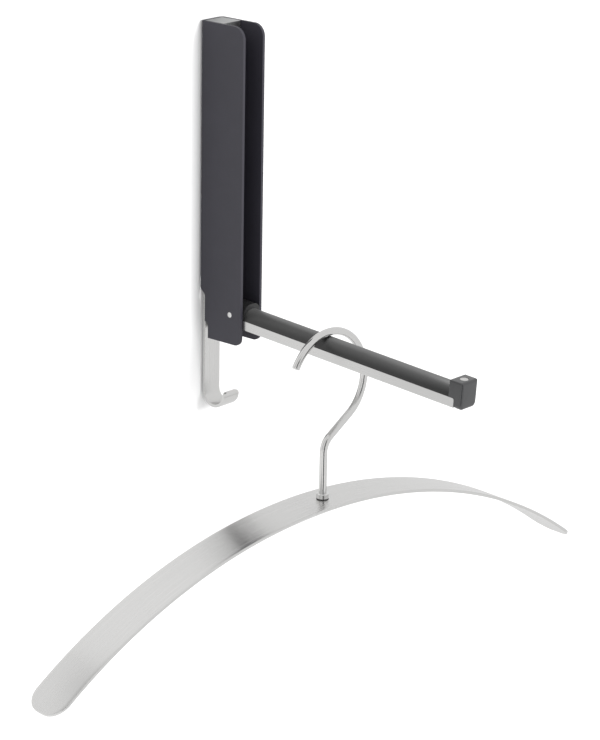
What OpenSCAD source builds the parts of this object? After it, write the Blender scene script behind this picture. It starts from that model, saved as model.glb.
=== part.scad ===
// Folding wall coat rack with a coat hook and a matching hanger, in millimetres.
// The wall is the plane Y = 0, the room is at -Y, and Z points up.
// The origin lies on the wall, midway between the two wall screws.

/* [Wall channel] */
// Outer width of the channel
channel_w = 20; // [18:0.5:26]
// Depth of the channel from the wall to its open front
channel_d = 36.5; // [36:0.5:45]
// Height of the channel above the arm's pivot
channel_above = 187; // [150:1:300]
// Height of the channel below the arm's pivot
channel_below = 19.5; // [19.5:0.5:30]
// Thickness of the folded sheet
sheet_t = 2; // [1.5:0.1:2.5]
// Inside radius of the two folds
fold_r = 0.5; // [0.3:0.1:1.5]
// Radius of the flanges' upper front corners
flange_top_r = 8; // [2:0.5:12]
// Radius of the flanges' lower front corners
flange_foot_r = 5; // [2:0.5:8]
// Depth of the notch in the flanges' rear edges beside the tongue
notch_d = 5.3; // [5:0.1:6]
// Depth of that notch below the tongue
foot_notch_d = 8.1; // [6:0.1:10]
// Height above the pivot where the notch starts
notch_above = 14.4; // [14:0.2:20]
// Distance that the tongue ends below the pivot
tongue_below = 8.8; // [8.5:0.1:12]
// Width of the relief slots beside the tongue
relief_w = 0.8; // [0.4:0.1:1]

/* [Wall screw holes] */
// Distance between the two wall screw holes
screw_pitch = 120; // [90:1:140]
// Height of the lower wall screw hole above the pivot
low_screw_above = 35; // [25:1:50]
// Diameter of the wall screw holes
wall_hole_d = 4.5; // [3.5:0.1:5.5]

/* [Pivot] */
// Distance from the wall to the pivot's axis
pivot_out = 27; // [26:0.5:28]
// Diameter of the pivot pin
pin_d = 3.6; // [3:0.1:4.5]
// Height of the peened dome at each end of the pin
pin_dome = 0.3; // [0.1:0.1:0.6]
// Radial running gap between pin and bushes
pin_gap = 0.05; // [0.02:0.01:0.1]
// Wall thickness of the bushes
bush_wall = 1.2; // [0.8:0.1:1.6]
// Length of each bush inside the hinge block
bush_len = 4; // [3:0.5:6]
// Width of each bush's flange
bush_rim = 1.5; // [1:0.1:2]
// Thickness of each bush's flange
bush_rim_t = 0.4; // [0.2:0.05:0.4]

/* [Arm] */
// Gap between the arm and each side of the channel
arm_gap = 0.25; // [0.2:0.05:0.5]
// Gap between the hinge block and each side of the channel
block_gap = 0.5; // [0.45:0.05:0.7]
// Angle that the lowered arm droops below level, in degrees
arm_droop = 4; // [0:0.5:5]
// Distance that the folded arm stands out above the channel
arm_over = 1; // [0:0.5:3]
// Distance that the arm's underside lies below the pivot's axis
arm_drop = 7.8; // [7.5:0.1:8]
// Height of the steel rail
rail_h = 6; // [5.5:0.1:6.5]
// Wall thickness of the steel rail
rail_wall = 1.2; // [1:0.1:1.5]
// Radius of the rail's upper corner at the cap
rail_corner_r = 1.2; // [0.5:0.1:2]
// Distance that the cover's arc has its centre below the rail's upper edge
cover_sink = 0.8; // [0:0.1:1.5]
// Wall thickness of the cover
cover_wall = 2; // [1.5:0.1:2.5]
// Length of the cover's legs inside the rail
cover_leg = 2.8; // [2:0.1:3.5]
// Distance from the pivot to the front of the hinge block's head
head_front = 10; // [10:0.5:14]
// Height of the hinge block's head above the pivot's axis
head_top = 8.2; // [7:0.1:8.5]
// Radius of the head's upper corners
head_corner_r = 6; // [2:0.5:7]
// Length of the heel behind the pivot
heel_len = 17; // [14:0.5:17.5]
// Chamfer of the heel's lower corner
heel_chamfer = 1.5; // [0.5:0.1:2]
// Length of the tenons inside the rail
tenon_len = 17; // [14:0.5:24]
// Play between a tenon or a cover leg and the rail
tenon_gap = 0.05; // [0.02:0.01:0.1]
// Distance that a tenon's top stays below the rail's upper edge
tenon_top_gap = 0.2; // [0.1:0.05:0.5]

/* [End cap and magnet] */
// Length of the cap's upper part along the arm
cap_d = 10.2; // [8:0.1:14]
// Length of the cap's lower part, in front of the rail's end
cap_nose_d = 5.8; // [4:0.1:7]
// Height of the cap's top above the pivot's axis
cap_top = 9.2; // [8.5:0.1:10]
// Radius of the cap's lower corners
cap_corner_r = 4; // [1:0.5:5]
// Distance that the cap's nose hangs below the rail
cap_lip = 1; // [0:0.1:1.5]
// Radius of the nose's front and rear lower edges
cap_nose_r = 2.4; // [1:0.1:2.8]
// Diameter of the magnet
magnet_d = 5.5; // [4:0.5:7]
// Thickness of the magnet
magnet_t = 4; // [2:0.5:6]
// Height of the keeper block
keeper_h = 12; // [10:0.5:20]
// Gap left between the cap and the keeper block when the arm is folded
keeper_gap = 0.3; // [0.1:0.1:0.6]
// Side gap between the keeper block and each flange
keeper_side_gap = 0.1; // [0.05:0.05:0.3]

/* [Coat hook] */
// Width of the hook's strip
hook_w = 14; // [12:0.5:16]
// Thickness of the hook's strip
hook_t = 2; // [1.5:0.1:2.5]
// Distance that the centre of the curl lies below the pivot
hook_drop = 57.3; // [45:0.1:80]
// Inside radius of the curl
hook_r = 7.7; // [5:0.1:12]
// Height of the tip above the centre of the curl
hook_tip = 2; // [0.5:0.1:8]
// Radius of the tip's corners
hook_tip_r = 3; // [1:0.5:6]
// Gap between the strip and the wall
hook_set = 1; // [0.5:0.1:1.5]
// Distance that the strip reaches above the pivot
hook_above = 12; // [10:0.5:12.5]
// Height left free above the strip's end, and again above the tongue's bend
bend_clear = 1; // [0.5:0.1:2]
// Distance that the stop block's edges stay inside the tongue's end
stop_inset = 0.8; // [0.5:0.1:1.5]
// Height of the hook screws' middle above the pivot
hook_screw_rise = 0.5; // [0:0.1:1]

/* [Screws] */
// Thread diameter of the keeper and hook screws
screw_d = 3; // [2.5:0.5:3.5]
// Head diameter of the keeper and hook screws
screw_head_d = 5.5; // [5:0.1:6]
// Head height of the keeper and hook screws
screw_head_h = 1.5; // [1:0.1:1.8]
// Length of the keeper and hook screws
screw_len = 7.5; // [6:0.5:7.5]
// Distance between the two keeper screws
keeper_screw_pitch = 8; // [7:0.5:9]
// Distance between the two hook screws
hook_screw_pitch = 10; // [8:0.5:11]
// Thread diameter of the arm's screws
arm_screw_d = 2.5; // [2:0.5:3]
// Head diameter of the arm's screws
arm_screw_head_d = 4.6; // [4:0.1:5.5]
// Head height of the arm's screws
arm_screw_head_h = 1.1; // [0.8:0.1:1.4]
// Length of the arm's screws
arm_screw_len = 5; // [4:0.5:6]
// Distance between the two screws of the hinge block
arm_screw_pitch = 8; // [7:0.5:9]
// Distance from a tenon's free end to its nearest screw
arm_screw_inset = 4.5; // [4:0.5:6]

/* [Hanger hook] */
// Distance from the wall to the hanger's middle
hanger_out = 102; // [60:1:150]
// Diameter of the wire
wire_d = 5; // [3.5:0.1:5.5]
// Gap left between the wire and the arm that carries it
hang_gap = 0.2; // [0.1:0.05:0.5]
// Centre-line radius of the crook's flat upper arc
crook_r = 35.8; // [33:0.1:45]
// Centre-line radius of the crook's side arc
crook_side_r = 28.4; // [22:0.1:32]
// Direction from the upper arc's centre at which the side arc begins, in degrees above level
crook_turn = 10; // [5:1:42]
// Direction from the upper arc's centre to the wire's tip, in degrees
crook_tip = 147; // [120:1:150]
// Slope of the straight run from the crook to the neck, in degrees
neck_slope = 30.5; // [20:0.5:35]
// Centre-line radius of the neck
neck_r = 11.6; // [8:0.1:16]
// Sideways distance from the arm's middle to the stem
stem_shift = -2.5; // [-4:0.5:2]
// Distance from the top of the crook's centre line to the bow's top
hanger_drop = 110.5; // [90:0.1:140]
// Diameter of the collar
collar_d = 8; // [7:0.1:10]
// Height of the collar
collar_h = 3.5; // [3:0.5:8]
// Diameter of the wire's turned-down end
spigot_d = 3.4; // [2.5:0.1:3.4]
// Radial gap around the turned-down end
spigot_gap = 0.06; // [0.03:0.01:0.1]
// End play of the swivel
swivel_play = 0.05; // [0.05:0.01:0.1]
// Diameter of the riveted end under the bow
rivet_d = 6; // [5:0.5:7]
// Height of the riveted end
rivet_h = 1.4; // [1:0.1:2]
// Diameter of both washers
washer_d = 8; // [7.6:0.1:12]
// Thickness of the dark washer above the bow
washer_t = 0.4; // [0.3:0.1:0.8]
// Thickness of the steel washer below the bow
low_washer_t = 0.8; // [0.5:0.1:1.2]

/* [Hanger bow] */
// Radius of the bow's upper face
bow_r = 372; // [320:2:450]
// Width of the hanger from tip to tip
bow_w = 459; // [400:1:470]
// Width of the bow's strip
bow_strip = 31; // [24:1:36]
// Thickness of the bow's strip
bow_t = 2; // [1.5:0.1:2.5]
// Radius of the bow's corners
bow_corner_r = 13; // [2:1:14]
// Turn of the bow against the wall, in degrees
bow_turn = 5.6; // [0:0.1:12]

/* [Hidden] */
$fn = 96;
over = 1;
// Overlap and slimness of the wire links that join two bends
lap = 0.2;
slim = 0.02;
// Width and depth of a screw's socket, as shares of its thread and its head
socket_wide = 0.65;
socket_deep = 0.6;
// Distance that the pin's dome draws in for each millimetre of its height
dome_run = 1.5;
pivot_z = -low_screw_above - screw_pitch / 2;
top_z = pivot_z + channel_above;
foot_z = pivot_z - channel_below;
inner_w = channel_w - 2 * sheet_t;
fold_out_r = fold_r + sheet_t;
fold_mid = inner_w / 2 - fold_r;
tongue_w = inner_w - 2 * relief_w;
step_d = hook_set + hook_t;
step_low = hook_above + bend_clear;
step_high = step_low + 2 * step_d;
relief_above = step_high + bend_clear;
tongue_face = step_d + sheet_t;
stop_h = 2 * (tongue_below - stop_inset);
hook_screw_mid = pivot_z + hook_screw_rise;

arm_w = inner_w - 2 * arm_gap;
block_w = inner_w - 2 * block_gap;
rail_top = rail_h - arm_drop;
cover_mid = rail_top - cover_sink;
cover_r = arm_w / 2;
cover_top = cover_mid + cover_r;
rail_in = arm_w / 2 - rail_wall;
tenon_w = 2 * (rail_in - tenon_gap);
tenon_low = rail_wall - arm_drop + tenon_gap;
tenon_h = rail_top - tenon_low - tenon_top_gap;
arm_len = channel_above + arm_over;
rail_end = arm_len - cap_nose_d;
cover_end = arm_len - cap_d;
keeper_d = pivot_out - cap_top - keeper_gap;
keeper_w = inner_w - 2 * keeper_side_gap;
keeper_z = top_z - keeper_h;

carry_z = pivot_z - (hanger_out - pivot_out) * tan(arm_droop) + cover_top / cos(arm_droop);
crook_top = carry_z + hang_gap + wire_d / 2;
crook_mid = [0, crook_top - crook_r];
side_mid = crook_mid + (crook_r - crook_side_r) * [cos(crook_turn), sin(crook_turn)];
side_end = side_mid + crook_side_r * [sin(neck_slope), -cos(neck_slope)];
neck_run = (side_end.x - stem_shift) / cos(neck_slope);
neck_tangent = neck_r * tan((90 - neck_slope) / 2);
neck_mid = [stem_shift + neck_r, side_end.y - neck_run * sin(neck_slope) - neck_tangent];
run_len = neck_run - neck_tangent;
bow_top = crook_top - hanger_drop;
stem_foot = bow_top + washer_t;
rivet_top = bow_top - bow_t - low_washer_t - 2 * swivel_play;
bow_half = asin(bow_w / 2 / bow_r);

black_paint = [0.16, 0.16, 0.18];
black_plastic = [0.2, 0.2, 0.21];
brushed_steel = [0.8, 0.8, 0.79];
plain_steel = [0.66, 0.66, 0.66];
bronze = [0.72, 0.55, 0.33];
nylon = [0.1, 0.1, 0.1];

// Extrudes a side view, drawn as [distance from the wall, height], across the width
module across(width) {
    rotate([90, 0, -90]) linear_extrude(width, center = true) children();
}

// Moves the origin to the pivot's axis
module at_pivot() {
    translate([0, -pivot_out, pivot_z]) children();
}

// Places a child in the arm's frame: the pivot's axis at the origin, the arm along -Y
module on_arm() {
    at_pivot() rotate([arm_droop, 0, 0]) children();
}

// Extrudes a front view, drawn as [x, z], along the arm between two distances from the pivot
module along_arm(from, to) {
    on_arm() translate([0, -from, 0]) rotate([90, 0, 0]) linear_extrude(to - from) children();
}

// Square with its two upper corners rounded, from the left foot to the right foot
module arch(width, low, high, r) {
    translate([-width / 2, low]) square([width, high - low - r]);
    translate([-width / 2 + r, low]) square([width - 2 * r, high - low]);
    for (side = [-1, 1])
        translate([side * (width / 2 - r), high - r]) circle(r);
}

// Countersunk screw along +Z, its head's face at z = 0 and its socket open there
module countersunk(d, head_d, head_h, length) {
    difference() {
        union() {
            cylinder(h = head_h, d1 = head_d, d2 = d);
            cylinder(h = length, d = d);
        }
        translate([0, 0, -over]) cylinder(h = head_h * socket_deep + over, d = d * socket_wide, $fn = 6);
    }
}

// Space that a countersunk screw takes up, open beyond its head's face
module countersunk_hole(d, head_d, head_h, length) {
    cylinder(h = head_h, d1 = head_d, d2 = d);
    cylinder(h = length, d = d);
    translate([0, 0, -over]) cylinder(h = over, d = head_d);
}

// Places a child at each keeper screw, with +Z pointing into the room
module at_keeper_screws() {
    for (side = [-1, 1])
        translate([side * keeper_screw_pitch / 2, 0, top_z - keeper_h / 2]) rotate([90, 0, 0]) children();
}

// Places a child at each hook screw, with +Z pointing into the room
module at_hook_screws() {
    for (side = [-1, 1])
        translate([0, -hook_set, hook_screw_mid + side * hook_screw_pitch / 2]) rotate([90, 0, 0]) children();
}

// Places a child at each hinge block screw, with +Z pointing up into the tenon
module at_block_screws() {
    for (n = [0, 1])
        on_arm() translate([0, -(head_front + tenon_len - arm_screw_inset - n * arm_screw_pitch), -arm_drop])
            children();
}

// Places a child at the cap's screw, with +Z pointing up into the tenon
module at_cap_screw() {
    on_arm() translate([0, -(rail_end - tenon_len + arm_screw_inset), -arm_drop]) children();
}

module wall_screw_hole(d) {
    rotate([90, 0, 0]) translate([0, 0, -over]) cylinder(h = sheet_t + 2 * over, d = d);
}

// Outline of the channel from above, open towards -Y
module channel_plan() {
    difference() {
        union() {
            translate([-channel_w / 2, -channel_d]) square([channel_w, channel_d - fold_out_r]);
            translate([-channel_w / 2 + fold_out_r, -channel_d])
                square([channel_w - 2 * fold_out_r, channel_d]);
            for (side = [-1, 1])
                translate([side * (channel_w / 2 - fold_out_r), -fold_out_r]) circle(fold_out_r);
        }
        translate([-inner_w / 2, -channel_d - over])
            square([inner_w, channel_d + over - fold_out_r]);
        translate([-fold_mid, -channel_d - over])
            square([2 * fold_mid, channel_d + over - sheet_t]);
        for (side = [-1, 1])
            translate([side * fold_mid, -fold_out_r]) circle(fold_r);
    }
}

// Side view of the flanges, with rounded front corners and the notch behind the pivot
module channel_side() {
    notch_z = pivot_z + notch_above;
    tongue_z = pivot_z - tongue_below;
    difference() {
        translate([0, foot_z]) square([channel_d, top_z - foot_z]);
        polygon([
            [-over, foot_z - over], [foot_notch_d, foot_z - over], [foot_notch_d, tongue_z],
            [notch_d, tongue_z], [notch_d, notch_z - notch_d], [0, notch_z], [-over, notch_z]
        ]);
        translate([channel_d - flange_top_r, top_z - flange_top_r]) difference() {
            square(flange_top_r + over);
            circle(flange_top_r);
        }
        translate([channel_d - flange_foot_r, foot_z + flange_foot_r]) difference() {
            translate([0, -flange_foot_r - over]) square(flange_foot_r + over);
            circle(flange_foot_r);
        }
    }
}

// Side view of the tongue, stepped forward by the thickness of the hook's strip
module tongue_side() {
    bend = sheet_t * tan(atan(step_d / (step_high - step_low)) / 2);
    polygon([
        [0, pivot_z + relief_above], [0, pivot_z + step_high], [step_d, pivot_z + step_low],
        [step_d, pivot_z - tongue_below], [tongue_face, pivot_z - tongue_below],
        [tongue_face, pivot_z + step_low + bend], [sheet_t, pivot_z + step_high + bend],
        [sheet_t, pivot_z + relief_above]
    ]);
}

module wall_channel() {
    color(black_paint) difference() {
        union() {
            difference() {
                intersection() {
                    translate([0, 0, foot_z]) linear_extrude(top_z - foot_z) channel_plan();
                    across(channel_w + 2 * over) channel_side();
                }
                translate([-inner_w / 2, -fold_out_r, foot_z - over])
                    cube([inner_w, fold_out_r + over, pivot_z + relief_above - foot_z + over]);
            }
            across(tongue_w) tongue_side();
        }
        for (side = [-1, 1])
            translate([0, 0, side * screw_pitch / 2]) wall_screw_hole(wall_hole_d);
        at_keeper_screws() countersunk_hole(screw_d, screw_head_d, screw_head_h, screw_len);
        at_hook_screws() cylinder(h = tongue_face + over, d = screw_d);
        at_pivot() rotate([0, 90, 0]) cylinder(h = channel_w + 2 * over, d = pin_d, center = true);
    }
}

// Outline of the keeper block from above, chamfered where the channel's folds are
module keeper_plan() {
    half = keeper_w / 2;
    polygon([
        [-half, -keeper_d], [half, -keeper_d], [half, -fold_out_r], [half - fold_r, -sheet_t],
        [fold_r - half, -sheet_t], [-half, -fold_out_r]
    ]);
}

module keeper_block() {
    color(plain_steel) difference() {
        translate([0, 0, keeper_z]) linear_extrude(keeper_h) keeper_plan();
        at_keeper_screws() cylinder(h = screw_len, d = screw_d);
    }
}

module keeper_screws() {
    color(plain_steel) at_keeper_screws() countersunk(screw_d, screw_head_d, screw_head_h, screw_len);
}

// Side view of the strip: down the wall, round the curl and up to the tip
module hook_side() {
    curl_z = pivot_z - hook_drop;
    curl_out = hook_r + hook_t;
    translate([hook_set, curl_z]) square([hook_t, hook_drop + hook_above]);
    translate([hook_set + curl_out, curl_z]) difference() {
        circle(curl_out);
        circle(hook_r);
        translate([-curl_out - over, 0]) square(2 * (curl_out + over));
    }
    translate([hook_set + curl_out + hook_r, curl_z]) square([hook_t, hook_tip]);
}

module coat_hook() {
    tip_z = pivot_z - hook_drop + hook_tip;
    color(brushed_steel) difference() {
        across(hook_w) hook_side();
        for (side = [0, 1])
            mirror([side, 0, 0])
                translate([hook_w / 2 - hook_tip_r, -hook_set - hook_r - hook_t, tip_z - hook_tip_r])
                    rotate([90, 0, 0]) linear_extrude(hook_r + hook_t + over) difference() {
                        square(hook_tip_r + over);
                        circle(hook_tip_r);
                    }
        at_hook_screws() countersunk_hole(screw_d, screw_head_d, screw_head_h, screw_len);
    }
}

// Block on the tongue, its front face flush with the heel's rear face
module stop_block() {
    stop_d = pivot_out - heel_len + 2 * over;
    color(plain_steel) difference() {
        intersection() {
            translate([-tongue_w / 2, -stop_d, pivot_z - stop_h / 2])
                cube([tongue_w, stop_d - tongue_face, stop_h]);
            on_arm() translate([-tongue_w, heel_len, -2 * stop_h])
                cube([2 * tongue_w, pivot_out, 4 * stop_h]);
        }
        at_hook_screws() cylinder(h = screw_len, d = screw_d);
    }
}

module hook_screws() {
    color(plain_steel) at_hook_screws() countersunk(screw_d, screw_head_d, screw_head_h, screw_len);
}

module pivot_pin() {
    color(brushed_steel) at_pivot() rotate([0, 90, 0]) {
        cylinder(h = channel_w, d = pin_d, center = true);
        for (side = [0, 1])
            mirror([0, 0, side]) translate([0, 0, channel_w / 2])
                cylinder(h = pin_dome, d1 = pin_d, d2 = pin_d - 2 * dome_run * pin_dome);
    }
}

// Side view of the hinge block: barrel, head and heel, as [distance from the pivot, height]
module block_side() {
    circle(head_top);
    translate([0, -arm_drop]) square([head_front, arm_drop + head_top]);
    polygon([
        [-heel_len, 0], [-heel_len, heel_chamfer - arm_drop], [heel_chamfer - heel_len, -arm_drop],
        [0, -arm_drop], [0, 0]
    ]);
}

module hinge_block() {
    color(black_plastic) difference() {
        union() {
            intersection() {
                on_arm() across(block_w) block_side();
                along_arm(-heel_len - over, head_front) arch(block_w, -arm_drop, head_top, head_corner_r);
            }
            along_arm(head_front - over, head_front + tenon_len)
                translate([-tenon_w / 2, tenon_low]) square([tenon_w, tenon_h]);
        }
        on_arm() rotate([0, 90, 0])
            cylinder(h = block_w + 2 * over, d = pin_d + 2 * (pin_gap + bush_wall), center = true);
        at_block_screws() countersunk_hole(arm_screw_d, arm_screw_head_d, arm_screw_head_h, arm_screw_len);
    }
}

module pivot_bushes() {
    color(bronze) on_arm() for (side = [0, 1])
        mirror([side, 0, 0]) translate([block_w / 2, 0, 0]) rotate([0, 90, 0]) difference() {
            union() {
                translate([0, 0, -bush_len]) cylinder(h = bush_len, d = pin_d + 2 * (pin_gap + bush_wall));
                cylinder(h = bush_rim_t, d = pin_d + 2 * (pin_gap + bush_wall + bush_rim));
            }
            translate([0, 0, -bush_len - over])
                cylinder(h = bush_len + bush_rim_t + 2 * over, d = pin_d + 2 * pin_gap);
        }
}

module arm_rail() {
    color(brushed_steel) difference() {
        along_arm(head_front, rail_end) difference() {
            translate([-arm_w / 2, -arm_drop]) square([arm_w, rail_h]);
            translate([-rail_in, rail_wall - arm_drop]) square([2 * rail_in, rail_h]);
        }
        on_arm() across(arm_w + 2 * over) translate([rail_end - rail_corner_r, rail_top - rail_corner_r])
            difference() {
                square(rail_corner_r + over);
                circle(rail_corner_r);
            }
        at_block_screws()
            countersunk_hole(arm_screw_d, arm_screw_head_d, arm_screw_head_h, arm_screw_len);
        at_cap_screw()
            countersunk_hole(arm_screw_d, arm_screw_head_d, arm_screw_head_h, arm_screw_len);
    }
}

// Front view of the cover's half-round shell
module cover_front() {
    difference() {
        translate([0, cover_mid]) circle(cover_r);
        translate([0, cover_mid]) circle(cover_r - cover_wall);
        translate([-arm_w, rail_top - arm_w]) square([2 * arm_w, arm_w]);
    }
}

module arm_cover() {
    leg_w = rail_in - tenon_gap - cover_r + cover_wall;
    leg_from = head_front + tenon_len + tenon_gap;
    leg_to = rail_end - tenon_len - tenon_gap;
    color(black_plastic) {
        along_arm(head_front, cover_end) cover_front();
        for (side = [0, 1])
            mirror([side, 0, 0]) on_arm() translate([cover_r - cover_wall, -leg_to, rail_top - cover_leg])
                cube([leg_w, leg_to - leg_from, cover_leg + cover_wall / 2]);
    }
}

// Front view of the cap: straight sides, rounded lower corners
module cap_front() {
    rotate(180) arch(arm_w, -cap_top, arm_drop + cap_lip, cap_corner_r);
}

// Side view of the cap's nose: rounded lower edges in front and behind
module nose_side() {
    translate([rail_end + cap_nose_d / 2, 0]) rotate(180)
        arch(cap_nose_d, -cap_top, arm_drop + cap_lip, cap_nose_r);
}

module end_cap() {
    color(black_plastic) difference() {
        union() {
            intersection() {
                along_arm(cover_end, arm_len) cap_front();
                on_arm() across(arm_w + 2 * over) union() {
                    nose_side();
                    translate([cover_end, rail_top]) square([cap_d, cap_top - rail_top]);
                }
            }
            along_arm(rail_end - tenon_len, rail_end + over)
                translate([-tenon_w / 2, tenon_low]) square([tenon_w, tenon_h]);
        }
        on_arm() translate([0, -arm_len + cap_d / 2, cap_top - magnet_t])
            cylinder(h = magnet_t + over, d = magnet_d);
        at_cap_screw() countersunk_hole(arm_screw_d, arm_screw_head_d, arm_screw_head_h, arm_screw_len);
    }
}

module cap_magnet() {
    color(brushed_steel) on_arm() translate([0, -arm_len + cap_d / 2, cap_top - magnet_t])
        cylinder(h = magnet_t, d = magnet_d);
}

module block_screws() {
    color(plain_steel) at_block_screws()
        countersunk(arm_screw_d, arm_screw_head_d, arm_screw_head_h, arm_screw_len);
}

module cap_screw() {
    color(plain_steel) at_cap_screw()
        countersunk(arm_screw_d, arm_screw_head_d, arm_screw_head_h, arm_screw_len);
}

// Part of the wire bent round a centre [x, z] between two directions, in degrees
module wire_arc(middle, r, from, to, d) {
    translate([middle.x, middle.y, 0]) rotate(from) rotate_extrude(angle = to - from)
        translate([r, 0]) circle(d = d);
}

// Slightly slimmer part of the wire that runs on into its two neighbours
module wire_link(middle, r, from, to) {
    turn = lap / r * 180 / PI;
    wire_arc(middle, r, from - turn, to + turn, wire_d - slim);
}

// Straight piece of the wire along a direction, in degrees
module wire_rod(start, direction, length, d) {
    translate([start.x, start.y, 0]) rotate(direction) rotate([0, 90, 0]) cylinder(h = length, d = d);
}

module hanger_wire() {
    tip = crook_r * [cos(crook_tip), sin(crook_tip)];
    tip_r = (wire_d - slim) / 2;
    color(brushed_steel) translate([0, -hanger_out, crook_mid.y]) rotate([90, 0, 0]) {
        wire_arc([0, 0], crook_r, crook_turn, crook_tip, wire_d);
        translate([tip.x, tip.y, 0]) rotate(crook_tip) rotate([-90, 0, 0]) rotate_extrude() {
            intersection() {
                circle(tip_r);
                square(tip_r);
            }
            translate([0, -lap]) square([tip_r, lap]);
        }
        wire_link(side_mid - crook_mid, crook_side_r, neck_slope - 90, crook_turn);
        wire_rod(side_end - crook_mid, 180 + neck_slope, run_len, wire_d);
        wire_link(neck_mid - crook_mid, neck_r, 90 + neck_slope, 180);
        wire_rod([stem_shift, neck_mid.y - crook_mid.y], -90, neck_mid.y - stem_foot, wire_d);
        wire_rod([stem_shift, stem_foot - crook_mid.y], -90, stem_foot - rivet_top, spigot_d);
        translate([stem_shift, rivet_top - rivet_h - crook_mid.y, 0]) rotate([-90, 0, 0])
            cylinder(h = rivet_h, d1 = rivet_d - 2 * rivet_h, d2 = rivet_d);
    }
}

// Ring round the hanger's stem
module stem_ring(low, height, bore, outer) {
    translate([stem_shift, -hanger_out, low]) difference() {
        cylinder(h = height, d = outer);
        translate([0, 0, -over]) cylinder(h = height + 2 * over, d = bore);
    }
}

module hanger_collar() {
    color(brushed_steel) stem_ring(stem_foot, collar_h, wire_d, collar_d);
}

module swivel_washer() {
    color(nylon) stem_ring(bow_top, washer_t, spigot_d + 2 * spigot_gap, washer_d);
}

module lower_washer() {
    color(plain_steel)
        stem_ring(
            bow_top - bow_t - low_washer_t - swivel_play, low_washer_t, spigot_d + 2 * spigot_gap, washer_d
        );
}

module hanger_bow() {
    color(brushed_steel) translate([stem_shift, -hanger_out, bow_top]) rotate(-bow_turn) difference() {
        translate([0, 0, -bow_r]) rotate([90, 0, 0]) rotate(90 - bow_half)
            rotate_extrude(angle = 2 * bow_half, $fn = 360) translate([bow_r - bow_t, -bow_strip / 2])
                square([bow_t, bow_strip]);
        for (end = [0, 1], edge = [0, 1])
            mirror([end, 0, 0]) mirror([0, edge, 0]) translate([0, 0, -bow_r]) rotate([0, bow_half, 0])
                translate([-bow_corner_r, bow_strip / 2 - bow_corner_r, bow_r - bow_t - over])
                    linear_extrude(bow_t + 2 * over) difference() {
                        square(bow_corner_r + over);
                        circle(bow_corner_r);
                    }
        translate([0, 0, -bow_t - over]) cylinder(h = bow_t + 2 * over, d = spigot_d + 2 * spigot_gap);
    }
}

wall_channel();
keeper_block();
keeper_screws();
coat_hook();
stop_block();
hook_screws();
pivot_pin();
hinge_block();
pivot_bushes();
arm_rail();
arm_cover();
block_screws();
end_cap();
cap_screw();
cap_magnet();
hanger_wire();
hanger_collar();
swivel_washer();
hanger_bow();
lower_washer();
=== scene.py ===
"""Dresses the folding wall coat rack and its hanger for a studio picture.

The wall is the plane Y = 0, the room is at -Y and Z points up. The rack's sizes are in
millimetres and become metres when a mesh is made. The studio's sizes are in metres.
"""

import logging
import math
from dataclasses import dataclass, field
from enum import Enum
from typing import Callable, Iterable, Optional, Sequence

import bmesh
import bpy
import numpy as np
from mathutils import Matrix, Vector

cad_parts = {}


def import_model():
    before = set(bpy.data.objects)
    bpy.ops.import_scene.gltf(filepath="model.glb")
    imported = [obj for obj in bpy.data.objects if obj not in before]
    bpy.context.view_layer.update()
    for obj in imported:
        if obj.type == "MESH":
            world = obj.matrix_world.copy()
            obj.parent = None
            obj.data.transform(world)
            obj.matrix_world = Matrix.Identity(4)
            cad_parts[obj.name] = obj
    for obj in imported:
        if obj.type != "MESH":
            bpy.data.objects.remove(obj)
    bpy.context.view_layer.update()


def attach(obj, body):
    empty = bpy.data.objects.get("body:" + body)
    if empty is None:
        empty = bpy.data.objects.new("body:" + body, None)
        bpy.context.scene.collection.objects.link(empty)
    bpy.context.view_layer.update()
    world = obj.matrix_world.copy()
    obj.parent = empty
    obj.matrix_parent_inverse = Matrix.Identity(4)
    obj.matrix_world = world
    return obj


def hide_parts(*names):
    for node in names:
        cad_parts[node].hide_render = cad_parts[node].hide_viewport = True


log = logging.getLogger("coat_rack")

MM = 0.001
QUARTER = np.pi / 2
RUN_MAP = "run"

# Points closer than this, in metres, are one point: in a copied solid, and between parts.
COPY_WELD = 2e-6
PART_WELD = 1e-6
# Angles in degrees: flat faces are joined within, edges are crisp over, edges are rounded over.
FLAT_WITHIN = 0.3
CRISP_OVER = 32.0
ROUND_OVER = 35.0
# Radius in millimetres of a ring that ends on the axis, where it can't shrink to nothing.
POINT_R = 0.05
# Points round a drilled hole or a screw, and faces across a rounded edge.
HOLE_STEPS = 48
ROUND_STEPS = 3
# Points along a quarter circle: a small rounding, a dome or wire end, the cap's edges.
SMALL_ARC = 5
ROUND_ARC = 7
CAP_ARC = 9

Move = Callable[[np.ndarray], np.ndarray]
BrushMap = Callable[[np.ndarray], tuple[np.ndarray, np.ndarray]]
Outline = Sequence[Sequence[float]]


class Body(Enum):
    """The moving bodies of the rack."""

    BRACKET = "bracket"
    ARM = "arm"
    HOOK = "hook"
    BOW = "bow"


class Slot(Enum):
    """The material slots that the finishes belong to."""

    BLACK_PAINT = "black_paint"
    BLACK_PLASTIC = "black_plastic"
    BRUSHED_STEEL = "brushed_steel"
    PLAIN_STEEL = "plain_steel"
    MAGNET = "magnet_nickel"
    BRONZE = "bronze"
    NYLON = "nylon"


# Meshes


def add_object(name: str, data: bpy.types.ID) -> bpy.types.Object:
    """Puts data into the scene as an object at the origin.

    Args:
        name: the object's name.
        data: its mesh, light or camera.

    Returns:
        The new object.
    """
    item = bpy.data.objects.new(name, data)
    bpy.context.scene.collection.objects.link(item)
    return item


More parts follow.
